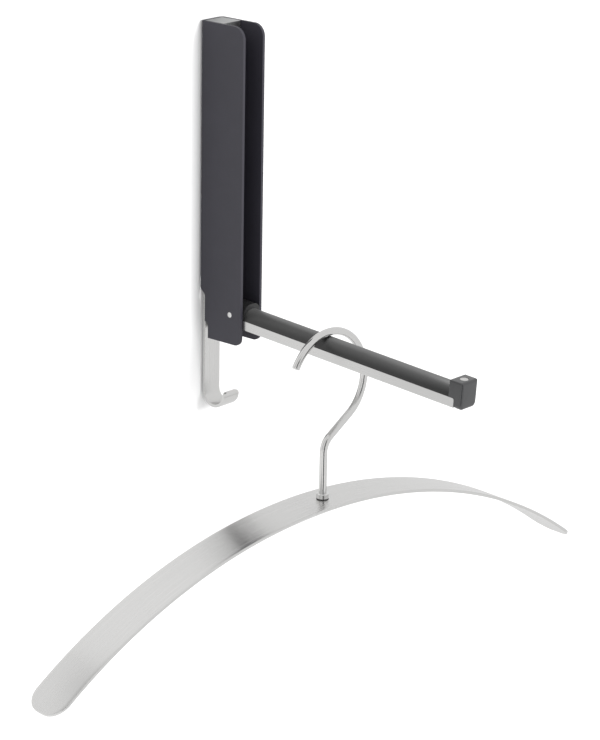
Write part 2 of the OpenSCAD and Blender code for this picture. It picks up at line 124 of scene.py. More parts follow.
def write_run_map(mesh: bpy.types.Mesh, along: np.ndarray, across: np.ndarray) -> None:
    """Writes the UV map that brushing follows: U runs with the brush marks, V across them.

    Args:
        mesh: the mesh that gets the map.
        along: distance with the brush marks, in millimetres, one per vertex.
        across: distance across the brush marks, in millimetres, one per vertex.
    """
    layer = mesh.uv_layers.new(name=RUN_MAP)
    corners = np.empty(len(mesh.loops), np.int32)
    mesh.loops.foreach_get("vertex_index", corners)
    uv = np.stack([(along * MM)[corners], (across * MM)[corners]], axis=1).astype(np.float32)
    layer.data.foreach_set("uv", uv.ravel())


def surface_piece(
    name: str,
    rings: np.ndarray,
    along: Optional[np.ndarray] = None,
    across: Optional[np.ndarray] = None,
    hollow: bool = False,
) -> bpy.types.Object:
    """Makes a closed piece from rings of points, each ring joined to the next by quads.

    Point (i, j) of the surface is rings[i, j], and j wraps round. In a hollow piece i wraps
    round too. Otherwise one flat face closes the first ring and one the last.

    Args:
        name: the piece's name.
        rings: points in millimetres, shaped (rings, points in a ring, 3).
        along: brush distance of each point in millimetres, shaped (rings, points).
        across: distance across the brushing in millimetres, shaped (rings, points).
        hollow: joins the last ring to the first.

    Returns:
        The new object, at the origin.
    """
    rows, turn = rings.shape[:2]
    i = np.arange(rows if hollow else rows - 1)[:, None]
    j = np.arange(turn)[None, :]
    k, below = (j + 1) % turn, (i + 1) % rows
    quads = np.stack([i * turn + j, i * turn + k, below * turn + k, below * turn + j], axis=-1)
    faces = quads.reshape(-1, 4).tolist()
    if not hollow:
        faces.append(list(range(turn - 1, -1, -1)))
        faces.append(list(range((rows - 1) * turn, rows * turn)))
    mesh = bpy.data.meshes.new(name)
    mesh.from_pydata((rings.reshape(-1, 3) * MM).tolist(), [], faces)
    if along is not None and across is not None:
        write_run_map(mesh, along.ravel(), across.ravel())
    return finish_mesh(name, mesh)


def finish_mesh(name: str, mesh: bpy.types.Mesh) -> bpy.types.Object:
    """Turns the faces outwards, smooths what is round and puts the mesh into the scene.

    Args:
        name: the piece's name.
        mesh: its mesh, in place.

    Returns:
        The new object, at the origin.
    """
    work = bmesh.new()
    work.from_mesh(mesh)
    bmesh.ops.recalc_face_normals(work, faces=work.faces)
    limit = math.radians(CRISP_OVER)
    for face in work.faces:
        face.smooth = True
    for edge in work.edges:
        edge.smooth = edge.calc_face_angle(math.pi) < limit
    work.to_mesh(mesh)
    work.free()
    return add_object(name, mesh)


def merged_piece(name: str, parts: Iterable[bpy.types.Object], weld: float = 0.0) -> bpy.types.Object:
    """Joins parts into one piece and removes them.

    Args:
        name: the piece's name.
        parts: the parts, in order.
        weld: distance in metres under which points are joined, or 0 to join none.

    Returns:
        The new object, at the origin.
    """
    work = bmesh.new()
    for part in parts:
        work.from_mesh(part.data)
        bpy.data.objects.remove(part)
    if weld:
        bmesh.ops.remove_doubles(work, verts=work.verts, dist=weld)
    mesh = bpy.data.meshes.new(name)
    work.to_mesh(mesh)
    work.free()
    return finish_mesh(name, mesh)


def turned_piece(
    name: str,
    outline: Outline,
    place: Move,
    steps: int = 72,
    six_sided: Iterable[int] = (),
    hollow: bool = False,
) -> bpy.types.Object:
    """Makes a turned piece: each outline point (r, h) goes round the axis at height h.

    A ring named in six_sided has the radius of a hexagon whose flats lie r from the axis, which
    is r / cos(a - 60 k) with a the angle and 60 k the nearest multiple of sixty degrees.

    Args:
        name: the piece's name.
        outline: points (radius, height) in millimetres, from one end to the other, or round
            the cut through the wall of a hollow piece.
        place: takes points with the axis on Z and puts them where they belong.
        steps: points in each ring.
        six_sided: numbers of the rings that are hexagons.
        hollow: closes the outline on itself, so that the axis stays free.

    Returns:
        The new object.
    """
    profile = np.array(outline, float)
    angle = np.arange(steps) * 2 * np.pi / steps
    radius = np.repeat(profile[:, :1], steps, axis=1)
    hexagon = 1 / np.cos((angle + np.pi / 6) % (np.pi / 3) - np.pi / 6)
    for ring in six_sided:
        radius[ring] *= hexagon
    height = np.repeat(profile[:, 1:], steps, axis=1)
    rings = np.stack([radius * np.cos(angle), radius * np.sin(angle), height], axis=-1)
    along = np.repeat(angle[None, :] * profile[:, 0].max(), len(profile), axis=0)
    edge = np.cumsum(np.hypot(*np.diff(profile, axis=0, prepend=profile[:1]).T))
    across = np.repeat(edge[:, None], steps, axis=1)
    if hollow:
        rings, along, across = rings.swapaxes(0, 1), along.T, across.T
    return surface_piece(name, place(rings), along, across, hollow)


def eased_disc(inner: float, outer: float, thick: float, edge: float) -> Outline:
    """Gives a disc's outline with its outer edges cut off.

    Args:
        inner: radius of its hole, or POINT_R where it has none.
        outer: its radius.
        thick: its thickness.
        edge: width of the cut edges.

    Returns:
        Points (radius, height), the lower face at height zero.
    """
    upper = [(outer, thick - edge), (outer - edge, thick), (inner, thick)]
    return [(inner, 0), (outer - edge, 0), (outer, edge)] + upper


def crosswise(at: Sequence[float], side: float = 1.0, shift: float = 0.0) -> Move:
    """Gives the move that lays an axis along X.

    Args:
        at: the point that the axis goes through.
        side: 1 points it to the right, -1 to the left.
        shift: distance that it is moved that way first.

    Returns:
        The move.
    """
    x, y, z = at
    return lambda p: np.stack([side * (p[..., 2] + shift) + x, p[..., 0] + y, p[..., 1] + z], axis=-1)


def off_the_wall(x: float, y: float, z: float) -> Move:
    """Gives the move that points an axis from (x, y, z) into the room."""
    return lambda p: np.stack([p[..., 0] + x, y - p[..., 2], p[..., 1] + z], axis=-1)


def eased_copy(node: str, name: str, rounding: float, run: Optional[BrushMap] = None) -> bpy.types.Object:
    """Copies a solid's mesh, joins its loose triangles and rounds its sharp edges.

    Args:
        node: the CAD node that is copied.
        name: the new piece's name.
        rounding: width of the rounded edges, in millimetres.
        run: gives the brush map from the points in millimetres, as (along, across).

    Returns:
        The new object, with a Bevel modifier.
    """
    work = bmesh.new()
    work.from_mesh(bpy.data.objects[node].data)
    bmesh.ops.remove_doubles(work, verts=work.verts, dist=COPY_WELD)
    flat = math.radians(FLAT_WITHIN)
    bmesh.ops.dissolve_limit(work, angle_limit=flat, verts=work.verts, edges=work.edges, delimit=set())
    for face in work.faces:
        face.smooth = True
    for layer in list(work.loops.layers.uv):
        work.loops.layers.uv.remove(layer)
    mesh = bpy.data.meshes.new(name)
    work.to_mesh(mesh)
    work.free()
    if "custom_normal" in mesh.attributes:
        mesh.attributes.remove(mesh.attributes["custom_normal"])
    if run is not None:
        points = np.empty(len(mesh.vertices) * 3, np.float32)
        mesh.vertices.foreach_get("co", points)
        write_run_map(mesh, *run(points.reshape(-1, 3) / MM))
    piece = add_object(name, mesh)
    bevel = piece.modifiers.new("eased edges", "BEVEL")
    bevel.width = rounding * MM
    bevel.segments = ROUND_STEPS
    bevel.limit_method = "ANGLE"
    bevel.angle_limit = math.radians(ROUND_OVER)
    bevel.use_clamp_overlap = True
    bevel.harden_normals = True
    return piece


def drill(piece: bpy.types.Object, place: Move, radius: float, depth: float) -> None:
    """Cuts a round hole into a piece, as far as the cutter reaches both ways.

    Args:
        piece: the piece that gets the hole.
        place: moves points from the hole's own axis, Z, to its place.
        radius: its radius, in millimetres.
        depth: how far the cutter reaches each way, in millimetres.
    """
    cutter = turned_piece("hole_cutter", [(radius, -depth), (radius, depth)], place, HOLE_STEPS)
    cut = piece.modifiers.new("hole", "BOOLEAN")
    cut.operation = "DIFFERENCE"
    cut.object = cutter
    cut.solver = "EXACT"
    bpy.context.view_layer.update()
    seen = piece.evaluated_get(bpy.context.evaluated_depsgraph_get())
    drilled = bpy.data.meshes.new_from_object(seen)
    old = piece.data
    piece.modifiers.clear()
    piece.data = drilled
    drilled.name = piece.name
    bpy.data.meshes.remove(old)
    bpy.data.objects.remove(cutter)


# Materials


class Desk:
    """A node tree with short ways to add and join its nodes."""

    def __init__(self, tree: bpy.types.NodeTree) -> None:
        """Takes the tree that the nodes go into."""
        self.tree = tree

    def add(self, kind: str, feeds: Optional[dict] = None, **settings: object) -> bpy.types.Node:
        """Adds a node, sets its properties and inputs, and links what feeds it.

        Args:
            kind: the node's Blender type.
            feeds: the sockets that feed its inputs, by input name or number.
            settings: values by property name, or by input name with spaces as underscores.

        Returns:
            The new node.
        """
        node = self.tree.nodes.new(kind)
        for name, value in settings.items():
            if hasattr(node, name):
                setattr(node, name, value)
            else:
                node.inputs[name.replace("_", " ")].default_value = value
        for key, socket in (feeds or {}).items():
            self.join(socket, node.inputs[key])
        return node

    def join(self, start: bpy.types.NodeSocket, end: bpy.types.NodeSocket) -> None:
        """Links one socket to another."""
        self.tree.links.new(start, end)

    def work_out(self, operation: str, *values: object) -> bpy.types.NodeSocket:
        """Adds a Math node.

        Args:
            operation: its Blender operation.
            values: its inputs in order, each a socket or a number.

        Returns:
            The socket with the result.
        """
        node = self.add("ShaderNodeMath", operation=operation)
        for end, value in zip(node.inputs, values):
            if isinstance(value, bpy.types.NodeSocket):
                self.join(value, end)
            else:
                end.default_value = value
        return node.outputs[0]

    def ramp(
        self,
        value: bpy.types.NodeSocket,
        start: Sequence[float] = (0.0, 1.0),
        end: Sequence[float] = (0.0, 1.0),
        smooth: bool = False,
    ) -> bpy.types.NodeSocket:
        """Carries a value from one range to another and keeps it inside.

        Args:
            value: the socket with the value.
            start: the range that it is read from.
            end: the range that it is carried to.
            smooth: eases both ends of the way.

        Returns:
            The socket with the result.
        """
        ends = dict(zip(("From_Min", "From_Max", "To_Min", "To_Max"), (*start, *end)))
        way = "SMOOTHSTEP" if smooth else "LINEAR"
        node = self.add("ShaderNodeMapRange", {"Value": value}, interpolation_type=way, **ends)
        return node.outputs["Result"]

    def noise(self, place: bpy.types.NodeSocket, scale: object, **settings: object) -> bpy.types.NodeSocket:
        """Adds a Noise Texture.

        Args:
            place: the socket with its coordinates.
            scale: its scale, a socket or a number.
            settings: its other values.

        Returns:
            The socket with the noise.
        """
        if isinstance(scale, bpy.types.NodeSocket):
            node = self.add("ShaderNodeTexNoise", {"Vector": place, "Scale": scale}, **settings)
        else:
            node = self.add("ShaderNodeTexNoise", {"Vector": place}, Scale=scale, **settings)
        return node.outputs["Fac"]

    def group(self, tree: bpy.types.NodeTree, feeds: dict, **settings: object) -> bpy.types.NodeOutputs:
        """Places a shared effect, fed by the given sockets, and gives its outputs."""
        return self.add("ShaderNodeGroup", feeds, node_tree=tree, **settings).outputs

    def two_shades(
        self,
        mask: bpy.types.NodeSocket,
        shader: bpy.types.Node,
        level: float,
        spread: float,
        tint: Sequence[float],
    ) -> None:
        """Colours a shader between a darker and a lighter shade of one tint.

        Args:
            mask: the socket that chooses between the two.
            shader: the shader that gets the colour.
            level: the middle level.
            spread: how far each shade is from it, as a share of it.
            tint: red, green and blue at level 1.
        """
        colour = self.add("ShaderNodeMix", {0: mask}, data_type="RGBA")
        for number, side in ((6, -1), (7, 1)):
            shade = level * (1 + side * spread)
            colour.inputs[number].default_value = (*(shade * part for part in tint), 1.0)
        self.join(colour.outputs[2], shader.inputs["Base Color"])

    def raise_by(
        self, height: bpy.types.NodeSocket, shader: bpy.types.Node, strength: float, depth: float
    ) -> None:
        """Raises a shader's surface by a height.

        Args:
            height: the socket with the height.
            shader: the shader that gets the normal.
            strength: share of the effect.
            depth: height of the highest places, in millimetres.
        """
        bump = self.add("ShaderNodeBump", {"Height": height}, Strength=strength, Distance=depth * MM)
        self.join(bump.outputs["Normal"], shader.inputs["Normal"])


def blank_desk(owner: bpy.types.ID) -> Desk:
    """Empties a node tree.

    Args:
        owner: the material or world that the tree belongs to.

    Returns:
        The tree's desk.
    """
    owner.use_nodes = True
    owner.node_tree.nodes.clear()
    return Desk(owner.node_tree)


def new_material(name: str, **settings: object) -> tuple[bpy.types.Material, Desk, bpy.types.Node]:
    """Starts a material.

    Args:
        name: the material's name.
        settings: values of its Principled BSDF by input name, with spaces as underscores.

    Returns:
        The material, its desk and its Principled BSDF.
    """
    material = bpy.data.materials.new(name)
    desk = blank_desk(material)
    shader = desk.add("ShaderNodeBsdfPrincipled", **settings)
    desk.add("ShaderNodeOutputMaterial", {"Surface": shader.outputs[0]})
    return material, desk, shader


@dataclass
class SharedEffects:
    """Shader node groups that several materials use."""

    grain: bpy.types.NodeTree = field(init=False)
    skin: bpy.types.NodeTree = field(init=False)
    handling: bpy.types.NodeTree = field(init=False)

    def __post_init__(self) -> None:
        """Builds the three groups."""
        self.grain = self._build_grain()
        self.skin = self._build_skin()
        self.handling = self._build_handling()

    @staticmethod
    def _group(name: str, inputs: dict[str, object], outputs: Sequence[str]) -> tuple[Desk, object, object]:
        """Starts a group with its sockets.

        Args:
            name: the group's name.
            inputs: default value of each number input by name; None makes a vector input.
            outputs: names of the number outputs.

        Returns:
            The group's desk, the sockets that come in and the sockets that go out.
        """
        tree = bpy.data.node_groups.new(name, "ShaderNodeTree")
        for key, value in inputs.items():
            kind = "NodeSocketVector" if value is None else "NodeSocketFloat"
            socket = tree.interface.new_socket(name=key, in_out="INPUT", socket_type=kind)
            if value is not None:
                socket.default_value = value
        for key in outputs:
            tree.interface.new_socket(name=key, in_out="OUTPUT", socket_type="NodeSocketFloat")
        desk = Desk(tree)
        return desk, desk.add("NodeGroupInput").outputs, desk.add("NodeGroupOutput").inputs

    def _build_grain(self) -> bpy.types.NodeTree:
        """Brush marks: noise drawn out along the first axis, fine marks and broad bands.

        Returns:
            The group.
        """
        inputs = {"Run": None, "Marks per metre": 9000.0, "Mark length": 0.02}
        desk, given, wanted = self._group("brush grain", inputs, ("Marks", "Bands"))
        split = desk.add("ShaderNodeSeparateXYZ", {0: given["Run"]}).outputs
        stretch = desk.work_out("DIVIDE", split["X"], given["Mark length"])
        for name, across_share, along_share, detail in (("Marks", 1.0, 1.0, 4.0), ("Bands", 0.06, 0.25, 2.0)):
            rate = desk.work_out("MULTIPLY", given["Marks per metre"], across_share)
            across = desk.work_out("MULTIPLY", split["Y"], rate)
            along = desk.work_out("MULTIPLY", stretch, along_share)
            place = desk.add("ShaderNodeCombineXYZ", {"X": along, "Y": across}).outputs[0]
            marks = desk.noise(place, 1.0, noise_dimensions="2D", Detail=detail, Roughness=0.6)
            desk.join(marks, wanted[name])
        return desk.tree

    def _build_skin(self) -> bpy.types.NodeTree:
        """A coated or moulded skin: fine rounded pits for height and a slow mottle.

        Returns:
            The group.
        """
        inputs = {"Place": None, "Pits per metre": 3000.0, "Mottle per metre": 60.0}
        desk, given, wanted = self._group("fine skin", inputs, ("Height", "Mottle"))
        pits = desk.noise(given["Place"], given["Pits per metre"], Detail=2.0, Roughness=0.5)
        mottle = desk.noise(given["Place"], given["Mottle per metre"], Detail=3.0, Roughness=0.55)
        desk.join(pits, wanted["Height"])
        desk.join(mottle, wanted["Mottle"])
        return desk.tree

    def _build_handling(self) -> bpy.types.NodeTree:
        """Faint wipes and finger marks: a soft mask of patches with broken edges.

        Returns:
            The group.
        """
        inputs = {"Place": None, "Patches per metre": 25.0}
        desk, given, wanted = self._group("handling marks", inputs, ("Mask",))
        rate = given["Patches per metre"]
        patches = desk.noise(given["Place"], rate, Detail=5.0, Roughness=0.65, Distortion=0.4)
        desk.join(desk.ramp(patches, start=(0.48, 0.72), smooth=True), wanted["Mask"])
        return desk.tree


@dataclass(frozen=True)
class Coating:
    """A matt or satin skin with fine pits, on sheet metal or moulded plastic."""

    name: str
    level: float
    roughness: float
    pits_per_metre: float
    pit_depth: float
    tint: tuple[float, float, float] = (1.0, 1.0, 1.0)
    specular: float = 0.5
    mottle: float = 0.12
    handled: float = 0.05
    relief: float = 0.35

    def build(self, effects: SharedEffects) -> bpy.types.Material:
        """Builds the material, on Object coordinates.

        Args:
            effects: the shared node groups.

        Returns:
            The material.
        """
        material, desk, shader = new_material(self.name, Specular_IOR_Level=self.specular)
        place = {"Place": desk.add("ShaderNodeTexCoord").outputs["Object"]}
        skin = desk.group(effects.skin, place, Pits_per_metre=self.pits_per_metre)
        marks = desk.group(effects.handling, place)
        desk.two_shades(skin["Mottle"], shader, self.level, self.mottle, self.tint)
        rough = desk.ramp(marks["Mask"], end=(self.roughness, self.roughness - self.handled))
        desk.join(rough, shader.inputs["Roughness"])
        desk.raise_by(skin["Height"], shader, self.relief, self.pit_depth)
        return material


@dataclass(frozen=True)
class BrushedMetal:
    """Brushed stainless steel, its marks along the U direction of the brush map."""

    name: str
    level: float
    roughness: float
    marks_per_metre: float
    mark_length: float
    contrast: float = 0.06
    anisotropy: float = 0.55
    mark_depth: float = 0.004
    relief: float = 0.4
    band_share: float = 0.35
    mark_range: tuple[float, float] = (0.3, 0.7)
    rough_spread: float = 0.05
    handled: float = 0.04
    tint: tuple[float, float, float] = (1.0, 0.995, 0.985)

    def build(self, effects: SharedEffects) -> bpy.types.Material:
        """Builds the material, on the brush map.

        Args:
            effects: the shared node groups.

        Returns:
            The material.
        """
        material, desk, shader = new_material(
            self.name, Metallic=1.0, Anisotropic=self.anisotropy, Anisotropic_Rotation=0.25
        )
        run = {"Run": desk.add("ShaderNodeUVMap", uv_map=RUN_MAP).outputs["UV"]}
        rate, length = self.marks_per_metre, self.mark_length
        grain = desk.group(effects.grain, run, Marks_per_metre=rate, Mark_length=length)
        place = {"Place": desk.add("ShaderNodeTexCoord").outputs["Object"]}
        marks = desk.group(effects.handling, place)
        masks = {2: grain["Marks"], 3: grain["Bands"]}
        both = desk.add("ShaderNodeMix", masks, data_type="FLOAT", Factor=self.band_share).outputs[0]
        desk.two_shades(both, shader, self.level, self.contrast, self.tint)
        reach = (self.roughness - self.rough_spread, self.roughness + self.rough_spread)
        rough = desk.ramp(both, start=self.mark_range, end=reach)
        dull = desk.work_out("MULTIPLY_ADD", marks["Mask"], self.handled, rough)
        desk.join(dull, shader.inputs["Roughness"])
        desk.raise_by(grain["Marks"], shader, self.relief, self.mark_depth)
        tangent = desk.add("ShaderNodeTangent", direction_type="UV_MAP", uv_map=RUN_MAP)
        desk.join(tangent.outputs["Tangent"], shader.inputs["Tangent"])
        return material


@dataclass(frozen=True)
class PlainMetal:
    """Plated, cast or bright metal without a direction."""

    name: str
    level: float
    tint: tuple[float, float, float]
    roughness: float
    mottle: float = 0.08
    pits_per_metre: float = 2500.0
    pit_depth: float = 0.004
    mottle_per_metre: float = 350.0
    relief: float = 0.3
    rough_spread: float = 0.05

    def build(self, effects: SharedEffects) -> bpy.types.Material:
        """Builds the material, on Object coordinates.

        Args:
            effects: the shared node groups.

        Returns:
            The material.
        """
        material, desk, shader = new_material(self.name, Metallic=1.0)
        place = {"Place": desk.add("ShaderNodeTexCoord").outputs["Object"]}
        pits, mottle = self.pits_per_metre, self.mottle_per_metre
        skin = desk.group(effects.skin, place, Pits_per_metre=pits, Mottle_per_metre=mottle)
        desk.two_shades(skin["Mottle"], shader, self.level, self.mottle, self.tint)
        reach = (self.roughness - self.rough_spread, self.roughness + self.rough_spread)
        desk.join(desk.ramp(skin["Mottle"], end=reach), shader.inputs["Roughness"])
        desk.raise_by(skin["Height"], shader, self.relief, self.pit_depth)
        return material


class Look(Enum):
    """Every finish of the rack, with the material slot that it belongs to."""

    POWDER = (
        Slot.BLACK_PAINT,
        Coating("fine matt powder coat", 0.038, 0.52, 2600, 0.010, tint=(0.94, 0.9, 1.2)),
    )
    BLOCK = (Slot.BLACK_PLASTIC, Coating("moulded black block", 0.018, 0.42, 3200, 0.006, tint=(1, 1, 1.04)))
    COVER = (Slot.BLACK_PLASTIC, Coating("satin black cover", 0.019, 0.38, 4200, 0.003))
    CAP = (
        Slot.BLACK_PLASTIC,
        Coating("matt black cap", 0.024, 0.19, 1500, 0.03, tint=(0.97, 1.0, 1.08), specular=0.9),
    )
    NYLON = (Slot.NYLON, Coating("black nylon", 0.045, 0.5, 3000, 0.004))
    STRIP = (
        Slot.BRUSHED_STEEL,
        BrushedMetal("brushed steel strip", 0.705, 0.24, 5000, 0.04, contrast=0.1, anisotropy=0.7),
    )
    RAIL = (Slot.BRUSHED_STEEL, BrushedMetal("brushed steel rail", 0.645, 0.30, 9000, 0.03))
    WIRE = (Slot.BRUSHED_STEEL, BrushedMetal("satin steel wire", 0.70, 0.17, 5000, 0.05, anisotropy=0.2))
    LATHE = (Slot.BRUSHED_STEEL, BrushedMetal("turned steel", 0.74, 0.22, 6000, 0.02, anisotropy=0.4))
    ZINC = (Slot.PLAIN_STEEL, PlainMetal("plain zinc plate", 0.5, (0.99, 1.0, 1.0), 0.38, mottle=0.2))
    NICKEL = (Slot.MAGNET, PlainMetal("satin nickel", 0.68, (1.0, 0.99, 0.98), 0.3))
    BRONZE = (Slot.BRONZE, PlainMetal("bearing bronze", 0.5, (1.2, 0.84, 0.45), 0.35))


@dataclass
class Finishes:
    """Every material of the rack, built once, and the fitting of pieces with them."""

    effects: SharedEffects
    materials: dict[Look, bpy.types.Material] = field(init=False)

    def __post_init__(self) -> None:
        """Builds the materials."""
        self.materials = {look: look.value[1].build(self.effects) for look in Look}

    def fit(self, piece: bpy.types.Object, body: Body, look: Look, *nodes: str) -> None:
        """Gives a piece its material and its body, and hides the solids that it stands for.

        Args:
            piece: the piece.
            body: the body that it moves with.
            look: its finish, which names a material slot.
            nodes: the CAD nodes that it replaces.
        """
        piece.data.materials.clear()
        piece.data.materials.append(self.materials[look])
        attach(piece, body.value)
        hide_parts(*nodes)
        log.info("%s: %d points, rides on %s", piece.name, len(piece.data.vertices), body.value)

    def fit_copies(
        self, body: Body, rows: Iterable[tuple[str, str, float, Look, Optional[BrushMap]]]
    ) -> None:
        """Copies solids with eased edges and fits the copies.

        Args:
            body: the body that they move with.
            rows: node, piece name, rounding in millimetres, finish and brush map of each.
        """
        for node, name, rounding, look, run in rows:
            self.fit(eased_copy(node, name, rounding, run), body, look, node)


# The object


@dataclass
class Screw:
    """A countersunk screw with a hexagon socket, its head's face at height zero."""

    thread_d: float
    head_d: float
    head_h: float
    length: float
    edge: float = 0.12
    socket_share: float = 0.325
    depth_share: float = 0.6
    floor_share: float = 0.98

    def outline(self) -> Outline:
        """Gives the turned outline from the socket's floor to the screw's end.

        The first four are the hexagon's: half its corner width is socket_share of the thread.

        Returns:
            Points (radius, height).
        """
        socket = self.thread_d * self.socket_share * math.cos(math.pi / 6)
        depth = self.head_h * self.depth_share
        head, thread = self.head_d / 2, self.thread_d / 2
        return [
            (socket * self.floor_share, depth),
            (socket, depth - self.edge / 2),
            (socket, self.edge / 2),
            (socket + self.edge / 2, 0),
            (head - self.edge, 0),
            (head, self.edge),
            (thread, self.head_h),
            (thread, self.length - 2 * self.edge),
            (thread - 2 * self.edge, self.length),
        ]

    def build(self, name: str, places: Sequence[Move]) -> bpy.types.Object:
        """Builds one piece with a screw at each place.

        Args:
            name: the piece's name.
            places: one move per screw, from the screw's own axis to its place.

        Returns:
            The piece.
        """
        parts = [
            turned_piece(f"{name}_{n}", self.outline(), place, HOLE_STEPS, six_sided=(0, 1, 2, 3))
            for n, place in enumerate(places)
        ]
        return merged_piece(name, parts)


@dataclass
class WallBracket:
    """The channel on the wall with its keeper, coat hook, stop and pivot pin."""

    pivot: tuple[float, float, float] = (0.0, -27.0, -95.0)
    channel_w: float = 20.0
    pin_d: float = 3.6
    pin_dome: float = 0.3
    pin_swell: float = 0.6
    keeper_mid_z: float = 86.0
    keeper_pitch: float = 8.0
    hook_screw_z: float = -94.5
    hook_screw_pitch: float = 10.0
    hook_set: float = 1.0
    hook_t: float = 2.0
    hook_r: float = 7.7
    hook_curl_z: float = -152.3
    screw: Screw = field(default_factory=lambda: Screw(3.0, 5.5, 1.5, 7.5))

    def hook_run(self, points: np.ndarray) -> tuple[np.ndarray, np.ndarray]:
        """Gives the coat hook's brush map.

        Down the wall the distance is minus z. On the curl it is the mean radius times the angle
        from the wall side, and on the tip it grows with z again. Across is x plus the place in
        the strip's thickness, so that the edges are mapped too.

        Args:
            points: the hook's points in millimetres.

        Returns:
            Distance along and across the strip.
        """
        x, y, z = points.T
        middle = self.hook_r + self.hook_t / 2
        curl_y = -(self.hook_set + self.hook_t + self.hook_r)
        below = z < self.hook_curl_z
        angle = np.arctan2(self.hook_curl_z - z, y - curl_y)
        tip = (z >= self.hook_curl_z) & (y < curl_y)
        along = np.where(below, middle * angle, self.hook_curl_z - z)
        along = np.where(tip, middle * math.pi + z - self.hook_curl_z, along)
        depth = np.where(below, np.hypot(y - curl_y, z - self.hook_curl_z), np.abs(y - curl_y))
        return along, x + depth

    def build(self, finishes: Finishes) -> None:
        """Builds the bracket's pieces and fits their finishes.

        Args:
            finishes: the rack's materials.
        """
        body = Body.BRACKET
        copies = (
            ("wall_channel", "channel_sheet", 0.3, Look.POWDER, None),
            ("keeper_block", "keeper_plate", 0.35, Look.ZINC, None),
            ("stop_block", "heel_stop", 0.35, Look.ZINC, None),
            ("coat_hook", "coat_hook_strip", 0.3, Look.STRIP, self.hook_run),
        )
        finishes.fit_copies(body, copies)
        finishes.fit(self._pin(), body, Look.LATHE, "pivot_pin")
        wide, high = self.keeper_pitch / 2, self.hook_screw_pitch / 2
        rows = (
            ("keeper_fixings", "keeper_screws", wide, 0.0, 0.0, self.keeper_mid_z),
            ("hook_fixings", "hook_screws", 0.0, -self.hook_set, high, self.hook_screw_z),
        )
        for name, node, aside, back, above, z in rows:
            places = [off_the_wall(side * aside, back, z + side * above) for side in (-1, 1)]
            finishes.fit(self.screw.build(name, places), body, Look.ZINC, node)

    def _pin(self) -> bpy.types.Object:
        """Builds the pivot pin with a peened dome at each end.

        At angle a from its rim the dome's radius is r cos(a) to the power pin_swell, and its
        height is the dome's height times sin(a).

        Returns:
            The pin.
        """
        half, r, dome = self.channel_w / 2, self.pin_d / 2, self.pin_dome
        bend = np.linspace(0, QUARTER, ROUND_ARC)
        end = [
            (max(r * math.cos(a) ** self.pin_swell, POINT_R), half + dome * math.sin(a)) for a in bend
        ]
        outline = [(radius, -height) for radius, height in end[::-1]] + end
        return turned_piece("hinge_pin", outline, crosswise(self.pivot))


